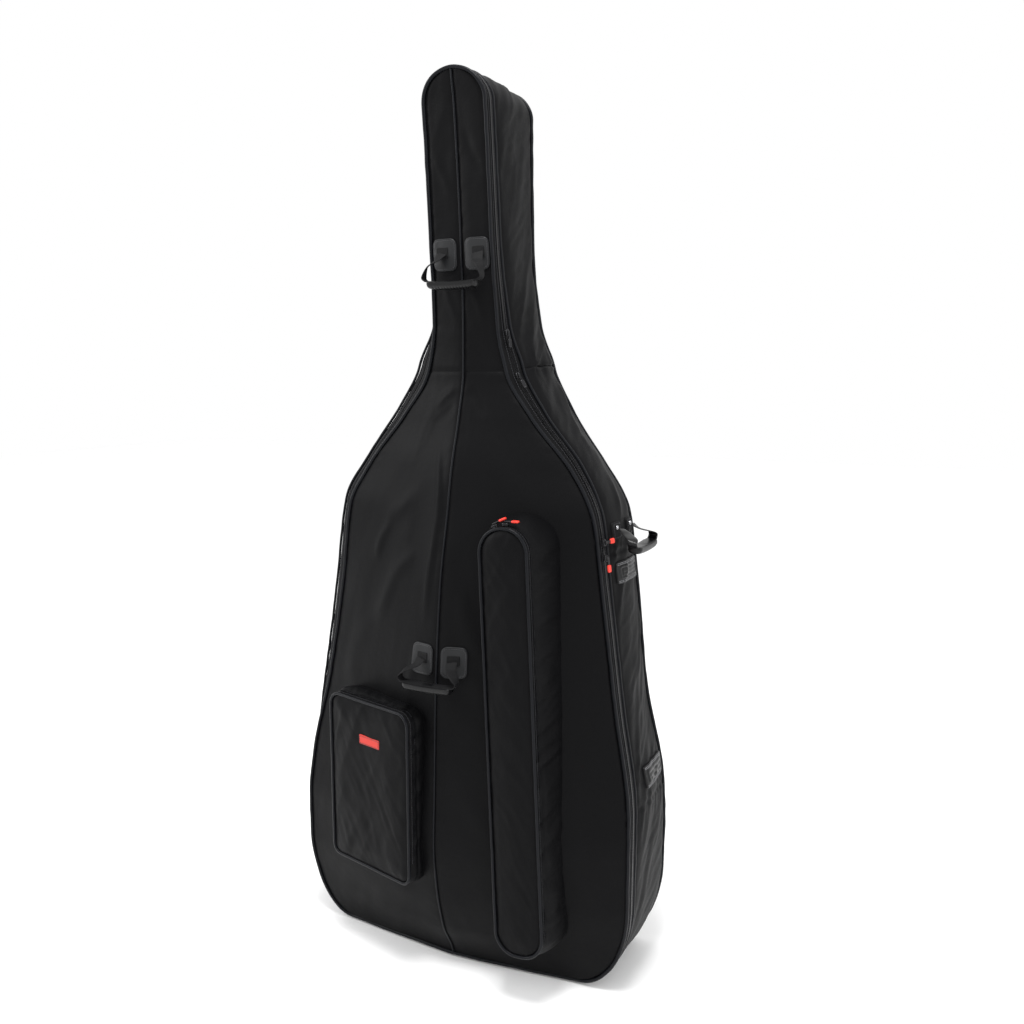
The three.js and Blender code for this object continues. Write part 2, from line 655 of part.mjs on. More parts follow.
// ---- zip sliders and their pulls --------------------------------------------------------------
// z runs along the zip, x stands out from it. The pull is turned about x from hanging along -z.
function slider(name, origin, along, out, pullTurn, tab) {
  const group = new THREE.Group();
  const x = out.clone().addScaledVector(along, -out.dot(along)).normalize();
  const y = new THREE.Vector3().crossVectors(along, x);
  group.applyMatrix4(new THREE.Matrix4().makeBasis(x, y, along).setPosition(origin));
  bag.add(group);
  const [clear, thick] = [1.2, 4.5];
  const body = shapePlate([[-4, -7], [4, -7], [5, 0], [4, 7], [-4, 7], [-5, 0]], thick);
  add(`${name}_slider`, body, metal, group).position.x = clear;
  const cord = [[-1.5, 3], [-1.5, -16], [-4.5, -17], [-4.5, -30]];
  const outline = [...cord, ...cord.map(([a, b]) => [-a, b]).reverse()];
  const pull = add(`${name}_pull`, shapePlate(outline, 2.4), tab, group);
  pull.position.x = clear + thick + 1;
  pull.rotation.x = THREE.MathUtils.degToRad(pullTurn);
}

// Plate whose outline lies in the y-z plane and whose thickness runs along x.
function shapePlate(outline, thickness) {
  const shape = new THREE.Shape(outline.map(([y, z]) => new THREE.Vector2(y, z)));
  const plate = new THREE.ExtrudeGeometry(shape, { depth: thickness, bevelEnabled: false });
  const turn = new THREE.Matrix4().makeBasis(
    new THREE.Vector3(0, 1, 0), new THREE.Vector3(0, 0, 1), new THREE.Vector3(1, 0, 0),
  );
  return plate.applyMatrix4(turn);
}

// Point of the main zip's coil on the right side, at height z.
function coilPoint(z) {
  const out = (station(RIGHT_FLARE, z) * COIL) / BAND + 3;
  return new THREE.Vector3(halfWidth(z) + out, station(EDGE, z) + COIL, z);
}

function mainSliders() {
  const places = [
    ["zip_a", 1380, 1480, 0, metal],
    ["zip_b", 1290, 1230, 0, metal],
    ["zip_c", 953, 985, 90, red],
    ["zip_d", 921, 801, 0, red],
  ];
  for (const [name, z, travelEnd, pullTurn, tab] of places) {
    const [low, high] = [Math.min(z, travelEnd), Math.max(z, travelEnd)];
    const along = coilPoint(high).sub(coilPoint(low)).normalize();
    const out = new THREE.Vector3(BAND, -station(RIGHT_FLARE, z), 0).normalize();
    slider(name, coilPoint(z), along, out, pullTurn, tab);
  }
}

// Sliders on a pocket's gusset: by place on the outline, direction out and pull's turn.
function pocketSliders(frame, places) {
  const turn = new THREE.Matrix4().extractRotation(frame);
  for (const [name, a, l, outA, outL, pullTurn] of places) {
    const origin = new THREE.Vector3(a, POCKET_COIL, l).applyMatrix4(frame);
    const along = new THREE.Vector3(-outL, 0, outA).applyMatrix4(turn);
    const out = new THREE.Vector3(outA, 0, outL).applyMatrix4(turn);
    slider(name, origin, along, out, pullTurn, red);
  }
}

const BOW_POCKET = {
  bottom: [210, -239.5, 112], top: [159, -216, 996], turn: 0,
  half: 52, tall: 884, topRadius: 50, lowRadius: 46, flare: 22,
};
const ACCESSORY_POCKET = {
  bottom: [-163, -221, 212], top: [-163, -221, 590], turn: 15,
  half: 124, tall: 378, topRadius: 28, lowRadius: 22, flare: 5,
};

function pockets() {
  const bow = pocket("bow_pocket", BOW_POCKET);
  const arch = BOW_POCKET.tall - BOW_POCKET.topRadius;
  const clear = 6; // from the face's outline to the zip on the bulging gusset
  const spread = [["bow_zip_a", 112], ["bow_zip_b", 88]].map(([name, degrees]) => {
    const angle = THREE.MathUtils.degToRad(degrees);
    const [outA, outL] = [Math.cos(angle), Math.sin(angle)];
    const reach = BOW_POCKET.topRadius + clear;
    return [name, reach * outA, arch + reach * outL, outA, outL, 0];
  });
  pocketSliders(bow, spread);
  const accessory = pocket("accessory_pocket", ACCESSORY_POCKET);
  const left = -ACCESSORY_POCKET.half - 2;
  pocketSliders(accessory, [
    ["accessory_zip_a", left, 214, -1, 0, 150],
    ["accessory_zip_b", left, 190, -1, 0, 180],
  ]);
  const tag = new THREE.BoxGeometry(64, 1.6, 20);
  const at = new THREE.Matrix4().makeTranslation(10, -CLOTH, 295).premultiply(accessory);
  add("accessory_label", tag.applyMatrix4(at), label);
}

shell();
lid();
baseGuard();
innerPieces();
sidePatch("side_pad_upper", 880, 46, -14, 92, 4, rubber);
sidePatch("side_pad_lower", 446, 46, -20, 92, 4, rubber);
handles();
pockets();
mainSliders();

export default bag;
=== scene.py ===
"""Looks of a padded double bass gig bag, standing closed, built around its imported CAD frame.

Shapes are worked out in millimetres in the frame of the CAD part and scaled to metres.
"""
import math

import bmesh
import bpy
import numpy as np
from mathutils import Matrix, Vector


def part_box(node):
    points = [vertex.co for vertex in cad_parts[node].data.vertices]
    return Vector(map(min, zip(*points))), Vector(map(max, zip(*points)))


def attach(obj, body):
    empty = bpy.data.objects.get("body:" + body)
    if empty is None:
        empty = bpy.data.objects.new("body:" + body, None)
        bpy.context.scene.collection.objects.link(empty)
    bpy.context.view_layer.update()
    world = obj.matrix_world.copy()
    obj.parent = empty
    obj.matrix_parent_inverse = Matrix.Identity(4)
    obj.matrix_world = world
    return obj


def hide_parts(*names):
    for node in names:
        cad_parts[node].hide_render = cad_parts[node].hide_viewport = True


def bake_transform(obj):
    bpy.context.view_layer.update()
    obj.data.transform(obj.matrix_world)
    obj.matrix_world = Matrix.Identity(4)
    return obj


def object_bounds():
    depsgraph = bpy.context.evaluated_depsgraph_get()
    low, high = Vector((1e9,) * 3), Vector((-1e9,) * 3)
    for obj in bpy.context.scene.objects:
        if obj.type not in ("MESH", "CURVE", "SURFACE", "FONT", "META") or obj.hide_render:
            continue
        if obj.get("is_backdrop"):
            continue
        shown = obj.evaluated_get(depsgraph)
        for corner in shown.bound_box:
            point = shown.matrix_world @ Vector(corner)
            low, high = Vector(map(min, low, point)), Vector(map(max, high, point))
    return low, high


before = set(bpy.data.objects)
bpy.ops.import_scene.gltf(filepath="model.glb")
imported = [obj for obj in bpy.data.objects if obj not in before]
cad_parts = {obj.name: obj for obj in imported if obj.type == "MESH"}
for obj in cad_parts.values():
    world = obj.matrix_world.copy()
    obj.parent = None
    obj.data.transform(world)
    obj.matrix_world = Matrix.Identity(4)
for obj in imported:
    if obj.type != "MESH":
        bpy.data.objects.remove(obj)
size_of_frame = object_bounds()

MM = 0.001

# ---- the bag's pattern
BASE_LIFT = 8  # bottom edge of the shell above the ground
CORNER_X = 290  # centre of the lower corners' quarter ellipses
CORNER_Z = 200
NECK_TOP_Z = 1835
TOP_Z = 1900
SHOULDER_Z = 1300
BACK_Y = 110
BAND = 38  # depth of the zip band behind the lid's edge
COIL = 18  # depth of the coil in the zip band
WALL = 12
PIPING_R = 4
STEP = 6  # spacing of rows along the rim
SIDE_SEAMS = (924, 396)  # heights of the seams across the body's sides
HINGE_Z = (200, 400)  # the lid is sewn to the left side between these heights
NECK_HANDLE_Z = 1540
BELLY_HANDLE_Z = 700
SIDE_HANDLE_Z = 968
SIDE_HANDLE_Y = 34
POCKET_COIL = 14.0  # depth of a pocket's zip behind its face

# height, half width, flare at the left zip piping, flare at the back, lid edge's depth,
# seam's depth, flare at the right zip piping
STATIONS = np.array([
    [0, 400, 0, 0, -112, -140, 0],
    [100, 400, 1, 1, -113, -186, 1],
    [200, 400, 2, 2, -120, -212, 2],
    [300, 400, 5, 4, -120, -223, 3],
    [400, 395, 12, 4, -108, -218, 4],
    [600, 357, 36, 1, -86, -209, 5],
    [850, 319, 40, 11, -74, -184, 6],
    [1000, 298, 36, 10, -74, -152, 8],
    [1100, 243, 30, 6, -65, -131, 12],
    [1200, 158, 36, 20, -66, -100, 18],
    [1300, 94, 44, 34, -62, -77, 24],
    [1400, 76, 20, 18, -67, -76, 12],
    [1550, 72, 5, 4, -83, -83, 4],
    [1835, 71, 3, 0, -110, -109, 2],
    [1900, 71, 2, 0, -120, -120, 2],
], float)
WIDTH, LEFT_FLARE, BACK_FLARE, EDGE, SEAM, RIGHT_FLARE = 1, 2, 3, 4, 5, 6
BOW_POCKET = dict(bottom=(210, -239.5, 112), top=(159, -216, 996), turn=0,
                  half=52, tall=884, top_radius=50, low_radius=46, flare=22)
ACCESSORY_POCKET = dict(bottom=(-163, -221, 212), top=(-163, -221, 590), turn=15,
                        half=124, tall=378, top_radius=28, low_radius=22, flare=5)


def station(column, z):
    """Smooth value of one column at height z, without overshoot."""
    heights, rows = STATIONS[:, 0], STATIONS[:, column]
    slope = np.diff(rows) / np.diff(heights)
    product = slope[:-1] * slope[1:]
    total = np.where(product > 0, slope[:-1] + slope[1:], 1)
    tangent = np.concatenate([[0], np.where(product > 0, 2 * product / total, 0), [0]])
    z = np.asarray(z, float)
    k = np.clip(np.searchsorted(heights, z, side="right") - 1, 0, len(rows) - 2)
    span = heights[k + 1] - heights[k]
    t = np.clip((z - heights[k]) / span, 0, 1)
    pull = span * t * (1 - t) * (tangent[k] * (1 - t) - tangent[k + 1] * t)
    return rows[k] + (rows[k + 1] - rows[k]) * t * t * (3 - 2 * t) + pull


def half_width(z):
    z = np.asarray(z, float)
    low = np.clip((CORNER_Z - z) / (CORNER_Z - BASE_LIFT), 0, 1)
    high = np.clip((z - NECK_TOP_Z) / (TOP_Z - NECK_TOP_Z), 0, 1)
    reach = station(WIDTH, CORNER_Z) - CORNER_X
    corner = CORNER_X + reach * np.sqrt(1 - low**2)
    head = station(WIDTH, NECK_TOP_Z) * np.sqrt(1 - high**2)
    return np.where(z < CORNER_Z, corner, np.where(z > NECK_TOP_Z, head, station(WIDTH, z)))


def lid_depth(x, z):
    u = np.clip(np.abs(x) / np.maximum(half_width(z), 1), 0, 1)
    edge = station(EDGE, z)
    return edge + (station(SEAM, z) - edge) * (1 - u**1.25)


def zip_flare(x, z):
    """Outward offset of the zip piping, which differs between the left and the right side."""
    return np.where(np.asarray(x) > 0, station(RIGHT_FLARE, z), station(LEFT_FLARE, z))


def side_offset(x, z, y, edge):
    """Outward offset of the side's outer face, widest at half its depth."""
    front = edge + BAND
    c, b = zip_flare(x, z), station(BACK_FLARE, z)
    t = np.clip((y - front) / (BACK_Y - front), 0, 1)
    return c + (b - c) * t + 4 * t * (1 - t) * np.minimum(10, 2 + c)


# ---- small maths
def ease(t):
    t = np.clip(t, 0, 1)
    return t * t * (3 - 2 * t)


def near(distance, reach):
    return np.exp(-((distance / reach) ** 2))


def noise(a, b, seed):
    """Smooth noise from -1 to 1 over a plane, with a spacing of 1."""
    size = 64
    lattice = np.random.default_rng(seed).uniform(-1, 1, (size, size))
    i, j = np.floor(a).astype(int), np.floor(b).astype(int)
    s, t = ease(a - i), ease(b - j)
    i0, j0, i1, j1 = i % size, j % size, (i + 1) % size, (j + 1) % size
    low = lattice[i0, j0] * (1 - s) + lattice[i1, j0] * s
    high = lattice[i0, j1] * (1 - s) + lattice[i1, j1] * s
    return low * (1 - t) + high * t


def folds(a, b, seed, angle, long, short):
    """Soft folds that run at an angle (degrees) from the a axis, from -1 to 1."""
    turn = math.radians(angle)
    p = (a * math.cos(turn) + b * math.sin(turn)) / long
    q = (b * math.cos(turn) - a * math.sin(turn)) / short
    q = q + 0.6 * noise(p * 0.7, q * 0.4, seed + 3)
    crease = 1 - 2 * np.abs(noise(p, q, seed))
    return 0.6 * crease + 0.4 * noise(p * 1.7, q * 2.1, seed + 1)


def lengths(points):
    """Length along a path up to each of its points."""
    steps = np.linalg.norm(np.diff(points, axis=0), axis=1)
    return np.concatenate([[0], np.cumsum(steps)])


def distinct(points):
    """Points without those that repeat the one before."""
    return points[np.concatenate([[True], np.diff(lengths(points)) > 1e-6])]


def resample(points, spacing):
    length = lengths(points)
    count = max(int(round(length[-1] / spacing)), 2)
    at = np.linspace(0, length[-1], count + 1)
    return np.stack([np.interp(at, length, column) for column in points.T], 1)


def smooth_path(points, steps):
    """Catmull-Rom curve through points, of any number of columns."""
    p = np.asarray(points, float)
    p = np.vstack([2 * p[0] - p[1], p, 2 * p[-1] - p[-2]])
    t = (np.arange(steps) / steps)[:, None]
    out = []
    for a, b, c, d in zip(p, p[1:], p[2:], p[3:]):
        curve = 2 * b + (c - a) * t + (2 * a - 5 * b + 4 * c - d) * t**2
        out.append(0.5 * (curve + (3 * b - a - 3 * c + d) * t**3))
    return np.vstack([*out, p[-2]])


def unit(v):
    return v / np.maximum(np.linalg.norm(v, axis=-1, keepdims=True), 1e-9)


def ring_angles(count):
    return 2 * np.pi * (np.arange(count) + 0.5) / count


def squarish(wave, power):
    """Sine or cosine drawn out towards its limits, for outlines with rounded corners."""
    return np.sign(wave) * np.abs(wave) ** power


# ---- the rim: right half from the middle of the base to the top
def rim_half():
    angle = np.radians(np.linspace(0, 90, 60))
    reach = station(WIDTH, CORNER_Z) - CORNER_X
    height = np.linspace(CORNER_Z, NECK_TOP_Z, 500)
    drop = CORNER_Z - BASE_LIFT
    points = np.vstack([
        [[0, BASE_LIFT]],
        np.stack([CORNER_X + reach * np.sin(angle), CORNER_Z - drop * np.cos(angle)], 1),
        np.stack([half_width(height), height], 1),
        np.stack([station(WIDTH, NECK_TOP_Z) * np.cos(angle),
                  NECK_TOP_Z + (TOP_Z - NECK_TOP_Z) * np.sin(angle)], 1),
    ])
    return resample(distinct(points), STEP)


def with_normals(points):
    """Rim rows as x, z, outward x, outward z, length so far."""
    along = unit(np.gradient(points, axis=0))
    return np.column_stack([points, along[:, 1], -along[:, 0], lengths(points)])


HALF = with_normals(rim_half())
HALF[0, 2:4] = 0, -1
HALF[-1, 2:4] = 0, 1
LOOP = np.vstack([HALF, (HALF * [-1, 1, -1, 1, -1] + [0, 0, 0, 0, 2 * HALF[-1, 4]])[-2:0:-1]])


def half_between(low, high):
    """Rows of the right half between two heights, above the flat base.

    A height inside the rim gets a row of its own, which the pieces on both sides share.
    """
    z = HALF[:, 1]
    keep = (z >= low) & (z <= high) & ((HALF[:, 0] >= CORNER_X) | (z > CORNER_Z))
    rows = [HALF[keep]]
    if low > BASE_LIFT:
        rows.insert(0, [[np.interp(low, z, column) for column in HALF.T]])
    if high < TOP_Z:
        rows.append([[np.interp(high, z, column) for column in HALF.T]])
    return np.vstack(rows)


def inside(rows, inset, share):
    """Both coordinates over the area inside outline rows; share runs from side to side."""
    across = (rows[:, 0] - rows[:, 2] * inset)[:, None] * share
    return across, (rows[:, 1] - rows[:, 3] * inset)[:, None] + 0 * share


# ---- mesh builders
def grid_faces(rows, columns, start=0, wrap_rows=False, wrap_columns=False):
    i = np.arange(rows if wrap_rows else rows - 1)[:, None]
    j = np.arange(columns if wrap_columns else columns - 1)[None, :]
    i2, j2 = (i + 1) % rows, (j + 1) % columns
    quads = np.stack(np.broadcast_arrays(
        i * columns + j, i * columns + j2, i2 * columns + j2, i2 * columns + j), -1)
    return quads.reshape(-1, 4) + start


class Shape:
    """Collects vertices and faces in millimetres, then becomes one object."""

    def __init__(self):
        self.points, self.faces, self.count = [], [], 0

    def add(self, points, faces):
        points = np.asarray(points, float).reshape(-1, 3)
        self.faces += [[int(v) + self.count for v in face] for face in faces]
        self.points.append(points)
        self.count += len(points)
        return self

    def grid(self, surface, **wrap):
        return self.add(surface, grid_faces(*surface.shape[:2], **wrap))

    def slab(self, front, back):
        """Closed layer between two surfaces on the same grid."""
        rows, columns = front.shape[:2]
        size = rows * columns
        edge = np.concatenate([
            np.arange(columns), np.arange(1, rows) * columns + columns - 1,
            np.arange(columns - 2, -1, -1) + (rows - 1) * columns,
            np.arange(rows - 2, 0, -1) * columns])
        after = np.roll(edge, -1)
        sides = np.stack([edge, edge + size, after + size, after], 1)
        quads = grid_faces(rows, columns)
        both = np.vstack([front.reshape(-1, 3), back.reshape(-1, 3)])
        return self.add(both, [*quads, *(quads[:, ::-1] + size), *sides])

    def tube(self, rings, closed=False):
        """Rings of points joined end to end, with flat ends unless closed."""
        count, sides = rings.shape[:2]
        faces = list(grid_faces(count, sides, wrap_rows=closed, wrap_columns=True))
        if not closed:
            faces += [np.arange(sides)[::-1], np.arange(sides) + (count - 1) * sides]
        return self.add(rings, faces)

    def boxes(self, centres, axes, sizes):
        """Small boxes: axes is (n, 3, 3) unit rows, sizes three full lengths."""
        corners = np.array([[x, y, z] for x in (-1, 1) for y in (-1, 1) for z in (-1, 1)])
        local = corners * np.asarray(sizes, float) / 2
        points = centres[:, None, :] + np.einsum("kc,ncd->nkd", local, axes)
        quads = np.array([[0, 1, 3, 2], [4, 6, 7, 5], [0, 4, 5, 1],
                          [2, 3, 7, 6], [0, 2, 6, 4], [1, 5, 7, 3]])
        faces = (quads[None] + 8 * np.arange(len(centres))[:, None, None]).reshape(-1, 4)
        return self.add(points, faces)

    def build(self, name, look, body=None, replaces=(), smooth=60, fill=None):
        mesh = bpy.data.meshes.new(name)
        points = np.vstack(self.points) * MM
        mesh.from_pydata(points.tolist(), [], self.faces)
        work = bmesh.new()
        work.from_mesh(mesh)
        bmesh.ops.recalc_face_normals(work, faces=work.faces)
        work.to_mesh(mesh)
        work.free()
        obj = bpy.data.objects.new(name, mesh)
        bpy.context.scene.collection.objects.link(obj)
        mesh.materials.append(LOOKS[look])
        mesh.shade_smooth()
        mesh.set_sharp_from_angle(angle=math.radians(smooth))
        SLOTS.get(look, look)
        if body:
            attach(obj, body)
        if replaces:
            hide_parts(*replaces)
        return obj


def layer(x, z, front, back):
    """Closed layer over x and z, between two depths."""
    faces = (np.stack(np.broadcast_arrays(x, depth, z), -1) for depth in (front, back))
    return Shape().slab(*faces)


def along_rim(rows, section):
    """Points (rows, corners, 3) of a section of (outward offset, depth) run along rim rows."""
    out, y = section(rows)
    x = rows[:, 0, None] + rows[:, 2, None] * out
    z = rows[:, 1, None] + rows[:, 3, None] * out
    return np.stack(np.broadcast_arrays(x, y, z), -1)


def edge_y(rows):
    return lid_depth(rows[:, 0], rows[:, 1])[:, None]


def circle(radius, sides=10):
    angle = ring_angles(sides)
    return radius * np.cos(angle)[None], radius * np.sin(angle)[None]


def frames_along(path, normal):
    """Unit along, across and normal at each point of a path."""
    along = unit(np.gradient(path, axis=0))
    across = unit(np.cross(along, normal))
    return along, across, np.cross(across, along)


def beads(shape, path, normal, spacing, size, first=0, every=1, lift=0.0):
    """Row of small boxes along a path, each turned to the path and its normal."""
    data = resample(np.hstack([path, normal]), spacing)[first::every]
    along, across, up = frames_along(data[:, :3], unit(data[:, 3:]))
    return shape.boxes(data[:, :3] + up * lift, np.stack([along, across, up], 1), size)


def stitch_line(shape, path, normal, length=3.6, pitch=5.2):
    """Row of thread stitches lying on a path."""
    beads(shape, path, normal, pitch, (length, 0.9, 0.9), lift=0.2)


# ---- looks
def look(name, colour, roughness, metallic=0.0, sheen=0.0, weave=None, grain=None, gloss=0.5):
    """Principled material. weave is (threads per metre, depth), grain (scale, depth)."""
    material = bpy.data.materials.new(name)
    material.use_nodes = True
    nodes, links = material.node_tree.nodes, material.node_tree.links
    shader = nodes["Principled BSDF"]
    for socket, value in (("Base Color", (*colour, 1)), ("Roughness", roughness),
                          ("Metallic", metallic), ("Sheen Weight", sheen),
                          ("Sheen Roughness", 0.4), ("Specular IOR Level", gloss)):
        shader.inputs[socket].default_value = value
    place = nodes.new("ShaderNodeTexCoord").outputs["Object"]
    normal = None

    def bump(height, depth, strength):
        nonlocal normal
        node = nodes.new("ShaderNodeBump")
        node.inputs["Distance"].default_value = depth
        node.inputs["Strength"].default_value = strength
        links.new(height, node.inputs["Height"])
        if normal:
            links.new(normal, node.inputs["Normal"])
        normal = node.outputs["Normal"]

    if grain:
        texture = nodes.new("ShaderNodeTexNoise")
        texture.inputs["Scale"].default_value = grain[0]
        texture.inputs["Detail"].default_value = 4
        links.new(place, texture.inputs["Vector"])
        bump(texture.outputs["Fac"], grain[1], 0.5)
    if weave:
        waves = []
        for direction in ("X", "Y", "Z"):
            wave = nodes.new("ShaderNodeTexWave")
            wave.bands_direction = direction
            wave.inputs["Scale"].default_value = weave[0] / (2 * math.pi) * 2
            wave.inputs["Distortion"].default_value = 0.4
            links.new(place, wave.inputs["Vector"])
            waves.append(wave.outputs["Fac"])
        total = waves[0]
        for wave in waves[1:]:
            node = nodes.new("ShaderNodeMath")
            node.operation = "MULTIPLY"
            links.new(total, node.inputs[0])
            links.new(wave, node.inputs[1])
            total = node.outputs[0]
        bump(total, weave[1], 0.6)
    if normal:
        links.new(normal, shader.inputs["Normal"])
    if weave or grain:
        mottle = nodes.new("ShaderNodeTexNoise")
        mottle.inputs["Scale"].default_value = 9
        mottle.inputs["Detail"].default_value = 3
        links.new(place, mottle.inputs["Vector"])
        spread = nodes.new("ShaderNodeMapRange")
        spread.inputs["To Min"].default_value = roughness - 0.07
        spread.inputs["To Max"].default_value = roughness + 0.07
        links.new(mottle.outputs["Fac"], spread.inputs["Value"])
        links.new(spread.outputs["Result"], shader.inputs["Roughness"])
    return material


LOOKS = {
    "nylon": look("nylon", (0.0026, 0.0026, 0.003), 0.5, weave=(1300, 0.0001),
                  grain=(70, 0.0008), gloss=0.075),
    "piping": look("piping", (0.0045, 0.005, 0.0065), 0.36, grain=(300, 0.0006), gloss=0.13),
    "zip_tape": look("zip_tape", (0.003, 0.003, 0.0035), 0.7, weave=(1200, 0.0003), gloss=0.15),
    "coil": look("coil", (0.005, 0.005, 0.006), 0.28, gloss=0.4),
    "foam": look("lining", (0.03, 0.031, 0.034), 0.85, sheen=0.1, weave=(500, 0.0004),
                 grain=(40, 0.002)),
    "vinyl": look("vinyl", (0.008, 0.0085, 0.0095), 0.42, grain=(420, 0.0007), gloss=0.3),
    "gloss_vinyl": look("gloss_vinyl", (0.003, 0.003, 0.0035), 0.3, grain=(260, 0.0005), gloss=0.25),
    "webbing": look("webbing", (0.003, 0.003, 0.0035), 0.7, weave=(700, 0.0006), gloss=0.2),
    "rubber": look("rubber", (0.003, 0.003, 0.0034), 0.36, grain=(500, 0.0003), gloss=0.25),
    "metal": look("metal", (0.03, 0.03, 0.032), 0.28, metallic=0.85, grain=(300, 0.0001)),
    "steel": look("steel", (0.5, 0.5, 0.52), 0.25, metallic=1.0, grain=(300, 0.0001)),
    "cord": look("cord", (0.007, 0.007, 0.008), 0.6, weave=(1500, 0.0003)),
    "red_tab": look("red_tab", (0.72, 0.035, 0.018), 0.42, grain=(250, 0.0002)),
    "label": look("label", (0.55, 0.03, 0.018), 0.6, weave=(1800, 0.0002)),
    "thread": look("thread", (0.03, 0.03, 0.034), 0.5, grain=(900, 0.0002)),
    "pale_thread": look("pale_thread", (0.2, 0.2, 0.21), 0.55, grain=(900, 0.0002)),
}
SLOTS = {"coil": "zip_tape", "gloss_vinyl": "vinyl", "steel": "metal", "cord": "zip_tape",
         "thread": "nylon", "pale_thread": "rubber"}


# ---- lid
# Tension folds of the lid's cloth: ends (x, z), half breadth, height (negative for a furrow)
LID_CREASES = (
    (-17, 1195, -60, 745, 7, 6.5), (-60, 745, -84, 560, 10, 3.5), (-38, 1160, -88, 830, 20, -4.5),
    (-20, 1240, -130, 1000, 24, -5), (-79, 945, -190, 730, 15, 4.5), (-130, 960, -250, 740, 20, -3.5),
    (-146, 985, -215, 880, 10, 4), (-8, 1268, -72, 1222, 9, 3.2), (-10, 1235, -62, 1180, 9, -2.6),
    (-210, 770, -300, 560, 24, 3), (-120, 640, -250, 420, 30, -3), (-90, 1060, -180, 960, 16, 3),
    (14, 950, 92, 770, 20, -4.5), (30, 900, 110, 640, 16, 3.5), (16, 760, 90, 560, 18, -3),
    (20, 1220, 150, 1010, 30, 2.5), (12, 1270, 60, 1200, 12, -2.5), (300, 520, 340, 260, 18, -2.5),
    (12, 1480, 50, 1390, 8, 2), (-50, 1490, -14, 1390, 8, 2), (-55, 1760, -15, 1650, 9, 2),
    (14, 1790, 56, 1690, 9, -2), (20, 560, 120, 300, 26, 2.5), (-60, 200, -220, 90, 26, 3),
)


DEEPEST = 2.7  # furrows stay this shallow, so that the lining never shows through the cloth


def crease_relief(x, z, creases):
    """Sum of rounded ridges and furrows along straight lines that fade at their ends."""
    total = np.zeros(np.broadcast(x, z).shape)
    for x0, z0, x1, z1, breadth, height in creases:
        length = math.hypot(x1 - x0, z1 - z0)
        along = ((x - x0) * (x1 - x0) + (z - z0) * (z1 - z0)) / length
        across = ((x - x0) * (z1 - z0) - (z - z0) * (x1 - x0)) / length
        bend = 0.12 * length * (noise(along / length * 2.2 + x0, along * 0, 91))
        fade = ease(along / (0.35 * length)) * ease((length - along) / (0.35 * length))
        total = total + height * fade * near(across - bend * 0.5, breadth)
    return total


def lid_relief(x, z):
    """Outward relief of the lid's cloth: soft folds that die out at the seams."""
    wide = half_width(z)
    to_edge = np.maximum(wide - np.abs(x), 0)
    to_seam = np.abs(x)
    side = np.where(x < 0, 11, 47)
    soft = np.where(x < 0, folds(x, z, 5, 62, 330, 95), folds(x, z, 9, 112, 360, 110))
    ripple = np.where(x < 0, folds(x, z, 21, 70, 120, 34), folds(x, z, 25, 105, 140, 38))
    shoulder = near(z - SHOULDER_Z, 170)
    calm = ease(to_edge / 34) * ease(to_seam / 26)
    relief = calm * ((2.2 - 1.0 * shoulder) * soft + (0.6 + 0.5 * shoulder) * ripple)
    relief = relief + ease(to_edge / 22) * ease(to_seam / 12) * crease_relief(x, z, LID_CREASES)
    pucker = noise(z / 11 + side, to_edge / 60, 31) * near(to_edge - 9, 16)
    pucker = pucker + 0.8 * noise(z / 13 + side, to_seam / 60, 33) * near(to_seam - 7, 15)
    across = noise(x / 12, z / 60, 35) * near(z - SHOULDER_Z, 20)
    dips = 2.6 * near(to_edge - 4, 5) + 1.8 * near(to_seam, 5.5)
    dips = dips + 2.2 * near(z - SHOULDER_Z, 3)
    total = relief + 0.7 * pucker + 0.8 * across - dips
    return np.where(total < 0, -DEEPEST * np.tanh(-total / DEEPEST), total)


def lid_surface(x, z, lift=0.0):
    """Point on the lid's cloth, raised by a lift."""
    x, z = np.broadcast_arrays(np.asarray(x, float), np.asarray(z, float))
    return np.stack([x, lid_depth(x, z) - lid_relief(x, z) - lift, z], -1)


def quilting(x, z, to_edge):
    """Height of a diamond quilt, from 0 to 1, that fades at the edge."""
    diamonds = np.abs(np.sin(math.pi * (x + z) / 150) * np.sin(math.pi * (x - z) / 150))
    return np.sqrt(diamonds) * ease(to_edge / 20)


def build_lid_cloth():
    for part, low, high, columns in (("body", BASE_LIFT, SHOULDER_Z, 46),
                                     ("neck", SHOULDER_Z, TOP_Z, 18)):
        rows = half_between(low, high)
        rows = rows[:-1] if high == TOP_Z else rows
        for side, sign in (("left", -1), ("right", 1)):
            name = f"lid_{part}_{side}"
            x, z = inside(rows, PIPING_R - 0.6, sign * np.linspace(0, 1, columns)[None])
            front = lid_surface(x, z)[..., 1]
            back = np.maximum(front + 0.8, lid_depth(x, z) + 3.4)
            layer(x, z, front, back).build(name + "_cloth", "nylon", "lid", [name], fill=0.5)


def build_lid_lining():
    rows = half_between(BASE_LIFT, TOP_Z)[:-1:2]
    x, z = inside(rows, 6, np.linspace(-1, 1, 61)[None])
    depth = lid_depth(x, z)
    inner = depth + 9.6 + 2.6 * quilting(x, z, half_width(z) - np.abs(x))
    layer(x, z, depth + 3.9, inner).build("lid_lining", "foam", "lid", ["lid_foam"], fill=0.7)

    reach, middle = 90, 730
    across = np.linspace(-1, 1, 30)[None]
    up = np.linspace(-1, 1, 40)[:, None]
    x, z = reach * across + 0 * up, middle + reach * up + 0 * across
    crown = (1 - np.abs(across) ** 6) * (1 - np.abs(up) ** 6)
    depth = lid_depth(x, z) + 15.2
    thick = 1.5 + 9.3 * np.sqrt(np.clip(crown, 0, 1))
    layer(x, z, depth, depth + thick).build(
        "bridge_pad_cover", "foam", "lid", ["bridge_pad"], fill=0.8)


